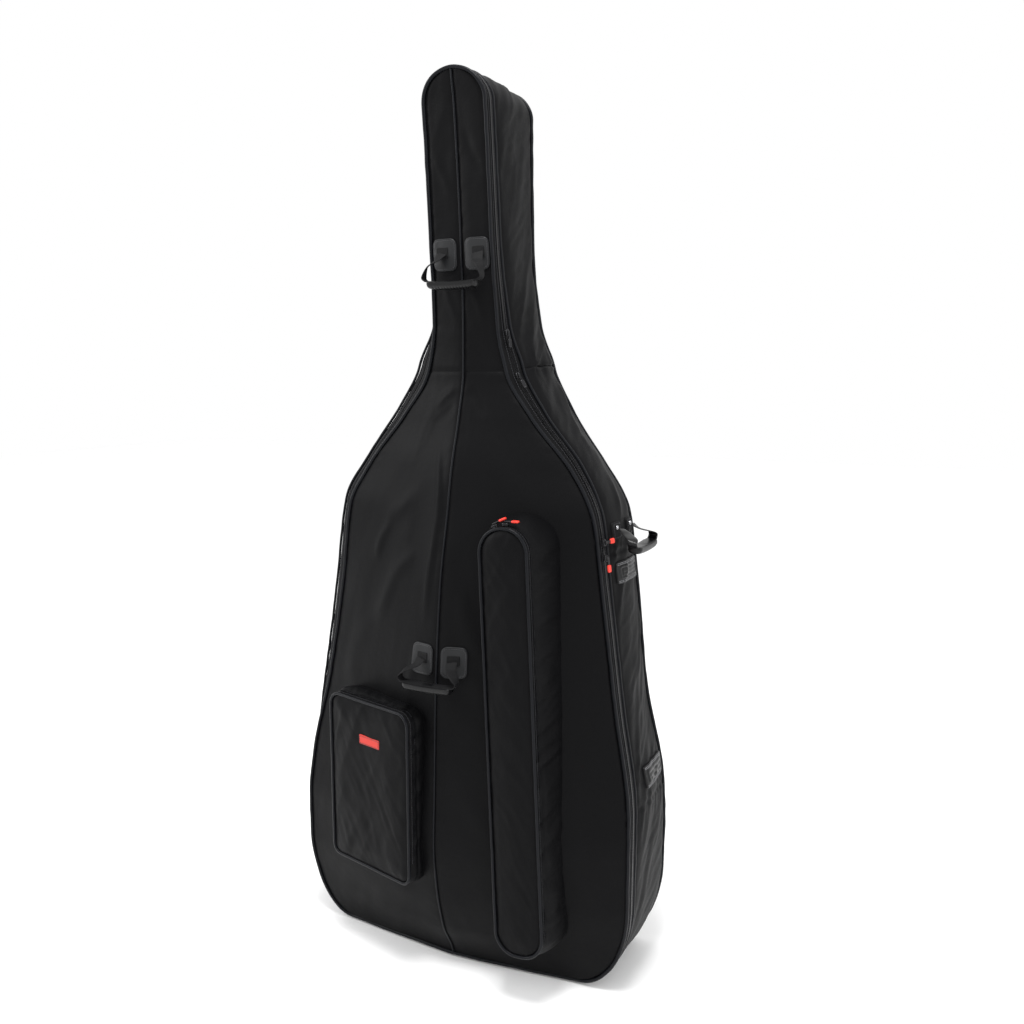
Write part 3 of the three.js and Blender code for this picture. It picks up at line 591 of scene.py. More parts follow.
def build_pipings():
    rows = half_between(BASE_LIFT, TOP_Z)
    z = np.concatenate([[BASE_LIFT + 4], rows[:, 1] - rows[:, 3] * 5])
    z = resample(z[:, None], 4)
    out, y = circle(2.3, 8)
    rings = np.broadcast_arrays(out, lid_depth(0 * z, z) - 0.4 + y, z)
    Shape().tube(np.stack(rings, -1)).build(
        "centre_piping_cord", "piping", "lid", ["centre_piping"])

    def zip_edge(r):
        return zip_flare(r[:, :1], r[:, 1:2]) - 0.4, edge_y(r) + BAND - 4

    def rear_edge(r):
        return station(BACK_FLARE, r[:, 1:2]) - 0.5, BACK_Y + 0 * r[:, 1:2]

    for name, body, place, radius in (
            ("front_piping", "lid", lambda r: (-0.5, edge_y(r)), 3.9),
            ("zip_piping", "shell", zip_edge, 3.0), ("rear_piping", "shell", rear_edge, 3.9)):
        def section(r, place=place, radius=radius):
            out, y = place(r)
            ring = circle(radius)
            wobble = 0.5 * noise(r[:, 4:5] / 24, 0 * r[:, 4:5], 71)
            return out + ring[0] + wobble, y + ring[1]
        Shape().tube(along_rim(LOOP, section), closed=True).build(
            name + "_cord", "piping", body, [name])


# ---- zip band
def band_out(rows, depth):
    return zip_flare(rows[:, :1], rows[:, 1:2]) * depth / BAND


def in_hinge(rows):
    on_left = rows[:, 0] < -CORNER_X - 20
    return on_left & (rows[:, 1] >= HINGE_Z[0]) & (rows[:, 1] <= HINGE_Z[1])


def zipped_rows():
    """Rim rows along the zip, starting and ending at the lid's hinge."""
    inside = np.flatnonzero(in_hinge(LOOP))
    return np.roll(LOOP, -inside[-1], axis=0)[: len(LOOP) - len(inside) + 2]


def band_strip(rows, start, end, bulge=0.0, thick=1.6):
    """Closed strip of the zip band between two depths behind the lid's edge."""
    t = np.linspace(0, 1, 9)[None]
    depth = start + (end - start) * t
    ripple = noise(rows[:, 4:5] / 21, 3 * t, 77) * 0.5 * np.sin(math.pi * t)
    out = band_out(rows, depth) + bulge * np.sin(math.pi * t) + ripple
    outer = along_rim(rows, lambda r: (out, edge_y(r) + depth))
    inner = along_rim(rows, lambda r: (out - thick, edge_y(r) + depth))
    return Shape().slab(outer, inner)


def band_line(rows, depth):
    """Path on the band and its outward directions."""
    path = along_rim(rows, lambda r: (band_out(r, depth) + 0.9, edge_y(r) + depth))[:, 0]
    return path, np.stack([rows[:, 2], 0 * rows[:, 2], rows[:, 3]], 1)


def coil_row(rows, depth, shift):
    """Row of coil teeth at a depth behind the lid's edge."""
    return beads(Shape(), *band_line(rows, depth), 1.55, (1.7, 3.6, 2.2), shift, 2)


def build_band():
    rows = zipped_rows()
    band_strip(rows, PIPING_R - 2, COIL - 4.4, 0.6).build(
        "lid_band", "nylon", "lid", ["lid_zip_tape"])
    band_strip(rows, COIL + 4.4, BAND - 4.4, 0.6).build(
        "shell_band", "nylon", "shell", ["shell_zip_tape"])
    band_strip(rows, COIL - 5.4, COIL + 0.1, -0.2, 1.0).build("lid_tape", "zip_tape", "lid")
    band_strip(rows, COIL + 0.4, COIL + 5.4, -0.2, 1.0).build("shell_tape", "zip_tape", "shell")
    coil_row(rows, COIL - 1.1, 0).build("lid_coil", "coil", "lid")
    coil_row(rows, COIL + 1.3, 1).build("shell_coil", "coil", "shell")
    for name, body, depth in [("lid_band_stitch", "lid", COIL - 6.6),
                              ("shell_band_stitch", "shell", COIL + 6.6)]:
        shape = Shape()
        stitch_line(shape, *band_line(rows, depth))
        shape.build(name, "thread", body)
    sewn = LOOP[in_hinge(LOOP)]
    strip = band_strip(sewn, PIPING_R, BAND - 5, 1.0, 1.8).build(
        "hinge_cloth", "nylon", None, ["hinge_strip"])
    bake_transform(strip)


# ---- shell
def side_relief(rows, y, seed):
    """Outward relief of a side wall: folds, sewn seams, and dips along the pipings."""
    s, z = rows[:, 4:5], rows[:, 1:2]
    lip = edge_y(rows) + BAND
    from_lip, from_back = y - lip, BACK_Y - y
    calm = ease(from_lip / 26) * ease(from_back / 22)
    handle = 1 - 0.75 * near(z - 968, 46)
    big = folds(s, y, seed, 24, 210, 42)
    small = folds(s, y, seed + 5, 58, 90, 20)
    crumple = near(z - SHOULDER_Z, 120)
    relief = calm * handle * ((3.4 + 2.2 * crumple) * big + (1.3 + 1.6 * crumple) * small)
    for height in (*SIDE_SEAMS, SHOULDER_Z):
        gap = z - height
        gather = folds(s, y, seed + 9, 8, 70, 15) * near(np.abs(gap) - 14, 26)
        relief = relief + 1.6 * handle * calm * gather - 2.6 * near(gap, 3.2)
        relief = relief + 0.9 * near(np.abs(gap) - 8, 5) * calm
    return relief - 2.2 * near(from_lip, 5) - 2.4 * near(from_back - 3, 6)


def side_surface(rows, y, seed, lift=0.0):
    out = side_offset(rows[:, :1], rows[:, 1:2], y, edge_y(rows)) + side_relief(rows, y, seed) + lift
    return along_rim(rows, lambda r: (out, y))


RIGHT_SEED, LEFT_SEED = 101, 202


def wall(name, rows, seed, flat=False):
    lip = edge_y(rows) + BAND
    under = edge_y(rows) + COIL - 2
    t = np.linspace(0, 1, 40)[None]
    y = np.hstack([under, lip - 1, lip + (BACK_Y - 4.5 - lip) * t])
    hidden = np.hstack([band_out(rows, COIL - 2) - 6.5, band_out(rows, BAND - 1) - 7])
    relief = np.zeros_like(y) if flat else side_relief(rows, y, seed)
    out = side_offset(rows[:, :1], rows[:, 1:2], y, edge_y(rows)) + relief
    out[:, :2] = hidden
    inner = side_offset(rows[:, :1], rows[:, 1:2], y, edge_y(rows)) - WALL
    inner[:, :2] = hidden - 4
    outer_face = along_rim(rows, lambda r: (out, y))
    inner_face = along_rim(rows, lambda r: (inner, y))
    Shape().slab(outer_face, inner_face).build(name + "_cloth", "nylon", "shell", [name], fill=0.6)


def build_shell():
    mirror = np.array([-1, 1, -1, 1, 1])
    body, neck = half_between(BASE_LIFT, SHOULDER_Z), half_between(SHOULDER_Z, TOP_Z)
    wall("side_right", body, RIGHT_SEED)
    wall("neck_side_right", neck, RIGHT_SEED)
    wall("side_left", body * mirror, LEFT_SEED)
    wall("neck_side_left", neck * mirror, LEFT_SEED)
    across = np.linspace(-CORNER_X, CORNER_X, 50)
    rows = np.column_stack([across, 0 * across + BASE_LIFT, 0 * across, 0 * across - 1, across])
    wall("base_panel", rows, 0, flat=True)


def build_back():
    rows = half_between(BASE_LIFT, TOP_Z)[:-1]
    flare = station(BACK_FLARE, rows[:, 1]) - 3.6
    x, z = inside(rows, -flare, np.linspace(-1, 1, 91)[None])
    to_edge = (half_width(z) + flare[:, None]) - np.abs(x)
    relief = ease(to_edge / 60) * (2.4 * folds(x, z, 301, 75, 360, 110) + 2.6)
    relief = relief + ease(to_edge / 30) * 0.9 * folds(x, z, 305, 100, 140, 36)
    relief = relief - 2.2 * near(to_edge - 4, 5) - 2.4 * near(z - SHOULDER_Z, 3.4)
    relief = relief + 0.8 * noise(x / 12, z / 60, 307) * near(z - SHOULDER_Z, 18)
    layer(x, z, BACK_Y + relief, BACK_Y - 3.2).build(
        "back_cloth", "nylon", "shell", ["back_panel"], fill=0.5)
    x = x * 0.972
    layer(x, z, BACK_Y - 3.4, BACK_Y - 10 - 2.4 * quilting(x, z, to_edge)).build(
        "back_lining", "foam", "shell", ["back_foam"], fill=0.7)


# ---- patches, pads and tags: rounded plates that lie on a surface
def rounded_outline(wide, tall, corner, sides=12):
    points = []
    for turn, (sx, sy) in enumerate([(1, 1), (-1, 1), (-1, -1), (1, -1)]):
        angle = np.radians(90 * turn + np.linspace(0, 90, sides))
        points.append(np.stack([sx * (wide / 2 - corner) + corner * np.cos(angle),
                                sy * (tall / 2 - corner) + corner * np.sin(angle)], 1))
    points = np.vstack(points)
    return resample(np.vstack([points, points[:1]]), 2.5)[:-1]


def plate(surface, centre, wide, tall, corner, thick, base=0.4, ribs=None):
    """Rounded plate. surface(a, b, lift) gives points; ribs adds to its height."""
    outline = rounded_outline(wide, tall, corner)
    shape = Shape()
    short = min(wide, tall) / 2
    insets = np.array([0, 0, 0.3, 0.8, 1.6, 2.6, 3.4, 4.2, *np.linspace(5.5, short - 0.5, 14)])
    heights = [-3, *(thick * np.array([0.35, 0.7, 0.9, 1, 1, 0.82, 1] + [1] * 14))]
    rings = []
    for inset, height in zip(insets, heights):
        scale = np.array([1 - 2 * inset / wide, 1 - 2 * inset / tall])
        a, b = (outline * scale).T
        extra = ribs(a, b) if ribs and inset > 2.6 else 0
        rings.append(surface(centre[0] + a, centre[1] + b, base + height + extra))
    shape.tube(np.array(rings))
    return shape


def ring_stitch(surface, centre, wide, tall, corner, inset, lift):
    outline = rounded_outline(wide - 2 * inset, tall - 2 * inset, max(corner - inset, 1))
    outline = np.vstack([outline, outline[:1]])
    a, b = centre[0] + outline[:, 0], centre[1] + outline[:, 1]
    low, high = surface(a, b, lift), surface(a, b, lift + 1)
    shape = Shape()
    stitch_line(shape, low, high - low)
    return shape


def right_side(y, z, lift=0.0):
    """Point on the right side wall from its depth and height."""
    y, z = np.asarray(y, float).ravel(), np.asarray(z, float).ravel()
    rows = np.stack([np.interp(z, HALF[:, 1], column) for column in HALF.T], 1)
    return side_surface(rows, y[:, None], RIGHT_SEED, lift)[:, 0]


def build_patches():
    for place, height in (("neck", NECK_HANDLE_Z), ("belly", BELLY_HANDLE_Z)):
        for side, sign in (("left", -1), ("right", 1)):
            spot, size = (sign * 38, height), (57, 66, 15)
            name = f"{place}_patch_{side}"
            plate(lid_surface, spot, *size, 3.2, 0.6).build(name + "_vinyl", "vinyl", "lid", [name])
            ring_stitch(lid_surface, spot, *size, 4, 3.4).build(name + "_stitch", "thread", "lid")
            anchor = (sign * (42 if place == "neck" else 37), height)
            box = plate(lid_surface, (anchor[0], height + 4), 27, 22, 2, 2.0, 3.6)
            box.build(name + "_anchor", "webbing", "lid")
    for side, sign in (("front", -1), ("rear", 1)):
        name = f"side_handle_tab_{side}"
        spot = (SIDE_HANDLE_Y + sign * 36, SIDE_HANDLE_Z)
        plate(right_side, spot, 32, 36, 5, 3.2, 0.8).build(name + "_web", "webbing", "shell", [name])
        ring_stitch(right_side, spot, 32, 36, 5, 4, 4.2).build(name + "_stitch", "thread", "shell")
        head = Shape()
        centre = right_side([spot[0]], [spot[1] + 6], 4.5)[0]
        turn = np.linspace(0, 2 * np.pi, 17)[:-1]
        rings = [[centre + [h, r * math.cos(a), r * math.sin(a)] for a in turn]
                 for r, h in [(4.6, 0), (4.6, 1), (3.8, 2), (2.4, 2.6), (0.4, 2.8)]]
        head.tube(np.array(rings)).build(f"side_handle_rivet_{side}", "steel", "shell")
    for name, z, wide in (("side_pad_upper", 880, 106), ("side_pad_lower", 446, 112)):
        centre = (92 - wide / 2, z)

        def ribs(a, b, wide=wide):
            inside = ease((23 - np.abs(b)) / 5 + 0.5) * ease((wide / 2 - 8 - np.abs(a)) / 3)
            inside = inside * ease((17 - np.abs(b)) / 2)
            return 2.2 * inside * np.sqrt(np.abs(np.sin(math.pi * a / 9.5)))
        plate(right_side, centre, wide, 46, 7, 3.4, 0.8, ribs).build(
            name + "_rubber", "rubber", "shell", [name], smooth=40)
        shape = Shape()
        for level in (-20, -17, 17, 20):
            y = np.arange(-wide / 2 + 5, wide / 2 - 5, 2.5)
            low, high = (right_side(centre[0] + y, z + level + 0 * y, h) for h in (4.2, 5.2))
            stitch_line(shape, low, high - low, 4, 6)
        shape.build(name + "_stitch", "pale_thread", "shell")


# ---- handles
def handle(name, spread, hang, stand, place, strap_look):
    """place turns local points (x along the grip, -y out, z up) into the bag's frame."""
    reach = 56
    half = np.array([
        [spread, 0.5, 2, 1, 0, 1],
        [spread + 6, -0.4 * stand, -0.22 * hang, 0.85, 0.5, 0.95],
        [reach + 4, -0.93 * stand, -0.45 * hang, 0.5, 0.85, 0.9],
        [reach + 12, -stand, 11 - hang, 0, 1, 0.85],
        [reach + 7, -stand, 3 - hang, 0, 1, 0.9],
        [reach - 2, -stand, 1.4 - hang, 0, 1, 1],
        [0, -stand, -1 - hang, 0, 1, 1],
    ])
    mirrored = (half * [-1, 1, 1, -1, 1, 1])[-2::-1]
    path = smooth_path(np.vstack([half, mirrored]), 8)
    at, side, share = path[:, :3], path[:, 3:6].copy(), path[:, 5:6]
    side[:, 2] = 0
    along = unit(np.gradient(at, axis=0))
    across = unit(side - along * (side * along).sum(1, keepdims=True))
    for i in range(1, len(across)):
        if across[i] @ across[i - 1] < 0:
            across[i] *= -1
    up = np.cross(along, across)
    angle = ring_angles(12)
    wave, rise = squarish(np.cos(angle), 0.35), squarish(np.sin(angle), 0.7)
    rings = (at[:, None] + across[:, None] * (12 * share * wave)[..., None]
             + up[:, None] * (1.25 * rise)[None, :, None])
    Shape().tube(place(rings)).build(name + "_webbing", strap_look, name, [name + "_strap"])

    x = np.linspace(-reach, reach, 61)
    sag = 0.6 - 2.4 * (1 - (x / reach) ** 2)
    end = np.clip((reach - np.abs(x)) / 9, 0.0, 1)
    size = 0.62 + 0.38 * np.sqrt(1 - (1 - end) ** 2)
    knuckle = 0.7 * np.cos(2 * np.pi * x / 7.0) * (np.abs(x) < 44)
    rings = []
    for k in range(len(x)):
        y = 16 * size[k] * squarish(np.cos(angle), 0.7)
        z = np.where(np.sin(angle) > 0, 3.2 * rise, 13 * rise * size[k] + knuckle[k] * rise)
        z = z - 1.0 + sag[k] - hang
        rings.append(np.stack([0 * y + x[k], y - stand, z], 1))
    Shape().tube(place(np.array(rings))).build(
        name + "_moulding", "rubber", name, [name + "_grip"], smooth=50)


def build_handles():
    def on_lid(z, lift):
        y = float(lid_depth(40, z)) - lift
        return lambda p: p + np.array([0, y, z])

    def on_side(p):
        z = SIDE_HANDLE_Z
        out = float(side_offset(1, z, SIDE_HANDLE_Y, station(EDGE, z))) + 11
        slope = (half_width(z + 5) - half_width(z - 5)) / 10
        length = math.hypot(1, slope)
        origin = np.array([half_width(z) + out / length, SIDE_HANDLE_Y, z - out * slope / length])
        return np.stack([-p[..., 1], p[..., 0], p[..., 2]], -1) + origin

    handle("neck_handle", 42, 58, 30, on_lid(NECK_HANDLE_Z, 8), "webbing")
    handle("belly_handle", 37, 40, 34, on_lid(BELLY_HANDLE_Z, 11), "webbing")
    handle("side_handle", 36, 32, 34, on_side, "gloss_vinyl")


# ---- pockets
def pocket_axes(spec):
    bottom, top = np.array(spec["bottom"], float), np.array(spec["top"], float)
    length = unit(top - bottom)
    turn = math.radians(spec["turn"])
    inward = unit(np.cross(length, [math.cos(turn), -math.sin(turn), 0]))
    return bottom, np.cross(inward, length), inward, length


def pocket_rows(spec):
    """Outline of a pocket's face: a, l, outward a, outward l, length; from the lower middle."""
    half, tall = spec["half"], spec["tall"]
    top, low = spec["top_radius"], spec["low_radius"]
    points = [[0, 0]]
    for a, l, radius, start in ((half - low, low, low, -90), (half - top, tall - top, top, 0),
                                (top - half, tall - top, top, 90), (low - half, low, low, 180)):
        angle = np.radians(start + np.linspace(0, 90, 24))
        points += list(np.stack([a + radius * np.cos(angle), l + radius * np.sin(angle)], 1))
    points = np.array(points + [[0, 0]], float)
    points = resample(distinct(points), 5)[:-1]
    along = unit(np.roll(points, -1, 0) - np.roll(points, 1, 0))
    steps = np.linalg.norm(np.roll(points, -1, 0) - points, axis=1)
    return np.column_stack([points, along[:, 1], -along[:, 0], np.cumsum(steps)])


class Pocket:
    """Pocket on the lid, in its own axes: a across, d in towards the lid, l along its length."""

    def __init__(self, name, spec, flap, seed):
        self.name, self.spec, self.flap, self.seed = name, spec, flap, seed
        self.bottom, self.across, self.inward, self.length = pocket_axes(spec)
        self.rows = pocket_rows(spec)

    def place(self, a, d, l):
        a, d, l = np.broadcast_arrays(a, d, l)
        at = self.bottom + a[..., None] * self.across + d[..., None] * self.inward
        return at + l[..., None] * self.length

    def around(self, rows, out, d):
        """Points beside the outline, at an outward offset and a depth."""
        a, l, out_a, out_l = (column[:, None] for column in rows.T[:4])
        return self.place(a + out_a * out, d, l + out_l * out)

    def foot(self, a, l):
        """Depth at which the gusset meets the lid."""
        depth = np.full(np.shape(a), 40.0)
        for _ in range(14):
            at = self.place(a, depth, l)
            depth = depth + lid_depth(at[..., 0], at[..., 2]) + 1.5 - at[..., 1]
        return depth

    def build_gusset(self):
        a, l, out_a, out_l, s = (column[:, None] for column in self.rows.T)
        flare, seed = self.spec["flare"], self.seed
        end = self.foot(a + out_a * flare, l + out_l * flare)
        t = np.linspace(0, 1, 18)[None]
        d = 2.6 + (end - 2.6) * t
        wave = folds(s, 60 * t, seed, 78, 110, 30) + 0.5 * folds(s, 60 * t, seed + 4, 60, 60, 14)
        wide = np.clip((end - 20) / 30, 0.2, 1.4)
        out = flare * t + np.sin(math.pi * t) * (1.5 + 3.6 * wide * wave)
        out = out - 1.6 * near(d - 5, 3) - 1.3 * near(d - 22, 2.6) - 1.5 * near(end - d - 4, 4)
        outer, inner = (self.around(self.rows, out - thick, d) for thick in (0, 2.4))
        Shape().tube(np.concatenate([outer, inner[:, ::-1]], axis=1), closed=True).build(
            self.name + "_gusset", "nylon", "lid", [self.name + "_wall"])
        ring_out, ring_d = circle(3.4)
        wobble = 0.35 * noise(s / 22, 0 * s, seed + 8)
        Shape().tube(self.around(self.rows, ring_out + wobble, ring_d), closed=True).build(
            self.name + "_piping_cord", "piping", self.flap, [self.name + "_piping"])

    def build_zip(self, span):
        """Tape, coil and stitching between two fractions of the outline's length."""
        s = self.rows[:, 4]
        rows = self.rows[(s >= span[0] * s[-1]) & (s <= span[1] * s[-1])]
        normal = rows[:, 2:3] * self.across + rows[:, 3:4] * self.length
        coil, stitches = Shape(), Shape()
        bulge = 1.9
        for depth in (8.6, 19.4):
            stitch_line(stitches, self.around(rows, bulge, depth)[:, 0], normal)
        depths = np.linspace(9.6, 18.4, 5)[None]
        outer, under = (self.around(rows, bulge + lift, depths) for lift in (0.6, -2.5))
        Shape().slab(outer, under).build(self.name + "_tape", "zip_tape", "lid")
        for shift, depth in ((0, 12.9), (1, 15.1)):
            path = self.around(rows, bulge + 1.0, depth)[:, 0]
            beads(coil, path, normal, 1.5, (1.6, 3.4, 1.9), shift, 2)
        coil.build(self.name + "_coil", "coil", "lid")
        stitches.build(self.name + "_stitch", "thread", "lid")

    def build_face(self, puff):
        spec, seed = self.spec, self.seed
        right = self.rows[: np.argmax(self.rows[:, 1]) + 1]
        beside_base = right[:, 0] > spec["half"] - spec["low_radius"] - 0.1
        right = right[beside_base | (right[:, 1] > spec["tall"] / 2)]
        right = right[right[:, 0] > 0.5]
        a, l = inside(right, 2.8, np.linspace(-1, 1, 61)[None])
        to_side = np.max(np.abs(a), 1, keepdims=True) - np.abs(a)
        edge = np.maximum(np.minimum(np.minimum(l, spec["tall"] - l), to_side), 0)
        crown = ease(edge / 46) * puff + ease(edge / 16) * 1.6
        soft = folds(a, l, seed + 20, 62, 170, 40) * 2.6 + folds(a, l, seed + 24, 118, 90, 22) * 1.1
        pucker = 0.7 * noise(self.rows[0, 4] + l / 12, a / 12, seed + 28) * near(edge - 8, 12)
        relief = crown + ease(edge / 20) * soft + pucker - 1.6 * near(edge, 3.5)
        front, back = self.place(a, -relief, l), self.place(a, np.maximum(1.5, 0.8 - relief), l)
        Shape().slab(front, back).build(
            self.name + "_face", "nylon", self.flap, [self.name + "_front"], fill=0.35)
        self.face = a, l, relief

    def surface(self, a, l, raised):
        """Points raised above the face, level with its mean height there, for a tag."""
        a, l = np.asarray(a, float), np.asarray(l, float)
        face_a, face_l, relief = self.face
        k = np.argmin(np.abs(face_l[:, :1] - l.ravel()[None]), 0)
        j = np.argmin(np.abs(face_a[k] - a.ravel()[:, None]), 1)
        return self.place(a, -relief[k, j].mean() - raised, l)


def build_pockets():
    pockets = []
    for name, spec, flap, seed, puff, span in (
            ("bow_pocket", BOW_POCKET, "bow_flap", 401, 5.0, (0.02, 0.56)),
            ("accessory_pocket", ACCESSORY_POCKET, "accessory_flap", 501, 3.5, (0.14, 0.86))):
        pocket = Pocket(name, spec, flap, seed)
        pocket.build_gusset()
        pocket.build_zip(span)
        pocket.build_face(puff)
        pockets.append(pocket)
    tag = (10, 295), 64, 20, 1.2
    plate(pockets[1].surface, *tag, 0.9, 0.5).build(
        "accessory_tag", "label", "accessory_flap", ["accessory_label"])
    ring_stitch(pockets[1].surface, *tag, 2, 1.3).build(
        "accessory_tag_stitch", "thread", "accessory_flap")
    return pockets


# ---- zip sliders and pulls
def slider(name, origin, along, out, pull_turn, tab_look):
    """Slider on a zip: along the zip, out from it, and its pull turned from hanging down."""
    x = unit(out - along * (out @ along))
    y = np.cross(along, x)
    basis = np.stack([x, y, along])
    turn = math.radians(pull_turn)
    swing = np.stack([x, y * math.cos(turn) + along * math.sin(turn),
                      along * math.cos(turn) - y * math.sin(turn)])

    def put(points, axes=basis):
        return origin + np.asarray(points, float) @ axes

    def lozenge(wide, tall, low, high, waist):
        angle = ring_angles(24)
        a, b = wide * squarish(np.cos(angle), 0.5), tall * squarish(np.sin(angle), 0.5)
        a = a * (1 + waist * (1 - (b / tall) ** 2))
        rings = []
        for level, share in ((low, 0.86), (low + 0.4, 1), (high - 0.9, 1), (high - 0.3, 0.92),
                             (high, 0.72), (high, 0.1)):
            rings.append(put(np.stack([0 * a + level, a * share, b * share], 1)))
        return np.array(rings)
    Shape().tube(lozenge(4.3, 7, 1.0, 4.4, 0.2)).tube(lozenge(4.0, 6.4, -1.2, 0.6, 0.2)).build(
        name + "_slider_body", "metal", name + "_slider", [name + "_slider"], smooth=40)
    t = np.linspace(0, np.pi, 13)
    bridge = np.stack([4.2 + 2.6 * np.sin(t), 0 * t, 4.6 * np.cos(t)], 1)
    ring_a, ring_b = circle(1.0, 8)
    rings = [put(p + np.stack([ring_a[0] * math.sin(k), ring_b[0], ring_a[0] * math.cos(k)], 1))
             for p, k in zip(bridge, t)]
    Shape().tube(np.array(rings)).build(name + "_slider_bridge", "metal", name + "_slider")

    def tube(points, radius, sides=8):
        points = smooth_path(points, 6)
        along_p = unit(np.gradient(points, axis=0))
        one = unit(np.cross(along_p, [0.9, 0.1, 0.3]))
        two = np.cross(along_p, one)
        a, b = circle(radius, sides)
        return put(points[:, None] + one[:, None] * a[0][:, None] + two[:, None] * b[0][:, None],
                   swing)
    level, top = 7.6, 2.4
    loop = [[level, 1.6, -15], [level, 1.5, -8], [level, 1.0, 0], [level, 0, top],
            [level, -1.0, 0], [level, -1.5, -8], [level, -1.6, -15]]
    if tab_look == "metal":
        Shape().tube(tube(loop, 0.9)).build(name + "_pull_wire", "metal", name + "_pull")
        thick, low, high, wide = 2.2, -31, -13, 4.2
    else:
        Shape().tube(tube(loop, 1.25)).build(name + "_pull_cord", "cord", name + "_pull")
        thick, low, high, wide = 4.6, -29.5, -14, 5.4
    middle, tall = (low + high) / 2, (high - low) / 2
    angle = ring_angles(28)
    a, b = wide * squarish(np.cos(angle), 0.42), tall * squarish(np.sin(angle), 0.42)
    rings = []
    for height, share in ((-0.5, 0.1), (-0.5, 0.8), (-0.38, 0.94), (-0.15, 1), (0.15, 1),
                          (0.38, 0.94), (0.5, 0.8), (0.44, 0.55), (0.44, 0.1)):
        face = np.stack([0 * a + level + height * thick, a * share, middle + b * share], 1)
        rings.append(put(face, swing))
    Shape().tube(np.array(rings)).build(name + "_pull_tab", tab_look, name + "_pull",
                                        [name + "_pull"], smooth=45)


def coil_point(z):
    out = station(RIGHT_FLARE, z) * COIL / BAND + 3
    return np.array([half_width(z) + out, station(EDGE, z) + COIL, z], float)


def build_sliders(bow, accessory):
    for name, z, travel_end, turn, tab in (
            ("zip_a", 1380, 1480, 0, "metal"), ("zip_b", 1290, 1230, 0, "metal"),
            ("zip_c", 953, 985, 90, "red_tab"), ("zip_d", 921, 801, 0, "red_tab")):
        low, high = min(z, travel_end), max(z, travel_end)
        along = unit(coil_point(high) - coil_point(low))
        out = unit(np.array([BAND, -station(RIGHT_FLARE, z), 0], float))
        slider(name, coil_point(z), along, out, turn, tab)
    arch = BOW_POCKET["tall"] - BOW_POCKET["top_radius"]
    reach = BOW_POCKET["top_radius"] + 6
    spots = []
    for name, degrees in (("bow_zip_a", 112), ("bow_zip_b", 88)):
        a, l = math.cos(math.radians(degrees)), math.sin(math.radians(degrees))
        spots.append((name, bow, reach * a, arch + reach * l, a, l, 0))
    left = -ACCESSORY_POCKET["half"] - 2
    spots.append(("accessory_zip_a", accessory, left, 214, -1, 0, 150))
    spots.append(("accessory_zip_b", accessory, left, 190, -1, 0, 180))
    for name, pocket, a, l, out_a, out_l, turn in spots:
        along = -out_l * pocket.across + out_a * pocket.length
        out = out_a * pocket.across + out_l * pocket.length
        slider(name, pocket.place(a, POCKET_COIL, l), along, out, turn, "red_tab")


# ---- base and inner pieces
def stacked(outline, levels, centre):
    """Rings of an outline, each a height and a share of the outline's size."""
    return np.array([np.column_stack([outline * k + centre, np.full(len(outline), z)])
                     for z, k in levels])


def build_base_guard():
    low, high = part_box("base_guard")
    centre = [(low.x + high.x) / 2 / MM, (low.y + high.y) / 2 / MM]
    outline = rounded_outline((high.x - low.x) / MM, (high.y - low.y) / MM, 30)
    levels = (4.5, 0.05), (4.5, 0.985), (4, 1), (0.8, 1), (0, 0.99), (0, 0.05)
    Shape().tube(stacked(outline, levels, centre)).build(
        "base_guard_plate", "rubber", "shell", ["base_guard"])


def build_endpin_patch():
    low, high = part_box("endpin_patch")
    centre = [(low.x + high.x) / 2 / MM, (low.y + high.y) / 2 / MM]
    turn = np.linspace(0, 2 * np.pi, 49)[:-1]
    circle_line = np.stack([np.cos(turn), np.sin(turn)], 1)
    base, top = low.z / MM, high.z / MM
    levels = ((base, 3), (base, 54), (base + 1, 55), (top - 1, 55), (top, 54), (top, 48),
              (top - 0.8, 46), (top - 0.8, 3))
    Shape().tube(stacked(circle_line, levels, centre)).build(
        "endpin_patch_disc", "rubber", "shell", ["endpin_patch"])


def build_neck_strap():
    low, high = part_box("neck_strap")
    t = np.linspace(-1, 1, 40)[:, None]
    u = np.linspace(-1, 1, 9)[None]
    x = 52 * t + 0 * u
    z = (low.z + high.z) / 2 / MM + 19 * u + 0 * t
    sag = 4 * (1 - t**2) + 0.4 * np.cos(math.pi * u * 4)
    front = np.stack([x, low.y / MM - sag * 0.5 + 0 * x, z], -1)
    back = np.stack([x, high.y / MM - sag * 0.5 - 0.6 + 0 * x, z], -1)
    Shape().slab(front, back).build("neck_strap_web", "webbing", "shell", ["neck_strap"])


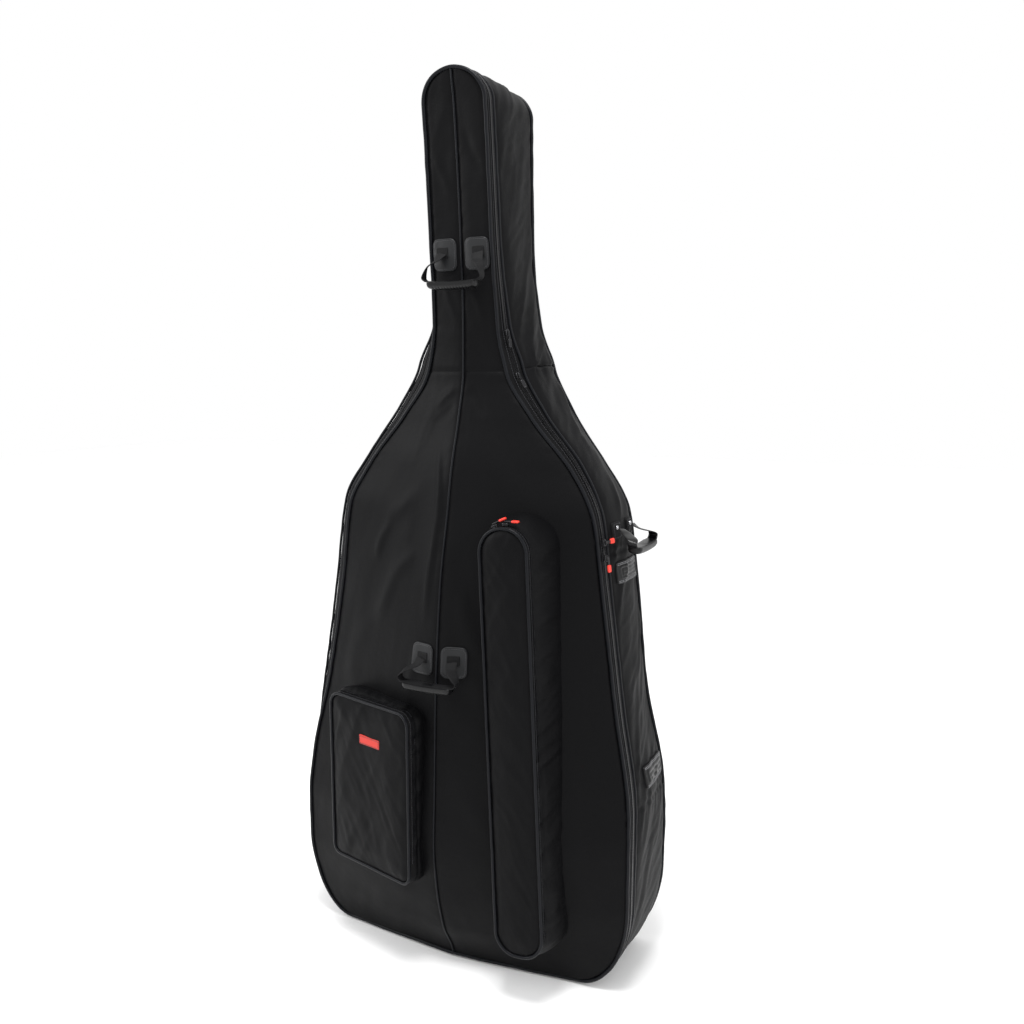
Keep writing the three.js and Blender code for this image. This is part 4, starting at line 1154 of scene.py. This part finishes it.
# ---- studio
def area_light(name, place, target, size, watts, tall=None):
    data = bpy.data.lights.new(name, "AREA")
    data.shape = "RECTANGLE"
    data.size, data.size_y, data.energy = size, tall or size, watts
    obj = bpy.data.objects.new(name, data)
    bpy.context.scene.collection.objects.link(obj)
    obj.location = place
    aim = np.array(target, float) - np.array(place, float)
    obj.rotation_euler = Vector(aim).to_track_quat("-Z", "Y").to_euler()


def studio():
    scene = bpy.context.scene
    world = bpy.data.worlds.new("studio")
    world.use_nodes = True
    background = world.node_tree.nodes["Background"]
    background.inputs["Color"].default_value = (1, 1, 1, 1)
    background.inputs["Strength"].default_value = 1.0
    scene.world = world
    scene.view_settings.view_transform = "Standard"
    paper = bpy.data.materials.new("paper")
    paper.use_nodes = True
    shader = paper.node_tree.nodes["Principled BSDF"]
    shader.inputs["Base Color"].default_value = (1, 1, 1, 1)
    shader.inputs["Roughness"].default_value = 0.9
    mesh = bpy.data.meshes.new("floor")
    reach = 12
    mesh.from_pydata([(-reach, -reach, 0), (reach, -reach, 0), (reach, reach, 0),
                      (-reach, reach, 0)], [], [(0, 1, 2, 3)])
    mesh.materials.append(paper)
    floor = bpy.data.objects.new("floor", mesh)
    scene.collection.objects.link(floor)
    floor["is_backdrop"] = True
    area_light("key", (-2.6, -1.5, 2.4), (0, 0, 1.0), 0.8, 48, 1.8)
    area_light("fill", (3.0, -0.6, 1.7), (0.1, 0, 0.9), 0.6, 22, 2.0)
    area_light("top", (0.4, -0.9, 3.8), (0, 0, 0.9), 1.0, 80)
    data = bpy.data.cameras.new("camera")
    data.sensor_width, data.lens = 36, 35.156
    camera = bpy.data.objects.new("camera", data)
    scene.collection.objects.link(camera)
    camera.location = (1.028, -1.95, 1.313)
    camera.rotation_euler = (math.radians(90 - 8.3626), 0, math.radians(26))
    scene.camera = camera


build_lid_cloth()
build_lid_lining()
build_pipings()
build_band()
build_shell()
build_back()
build_patches()
build_handles()
build_sliders(*build_pockets())
build_base_guard()
build_endpin_patch()
build_neck_strap()
studio()

size_of_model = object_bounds()
both = {"frame": size_of_frame, "model": size_of_model}
{k: [[float(c) for c in corner] for corner in v] for k, v in both.items()}
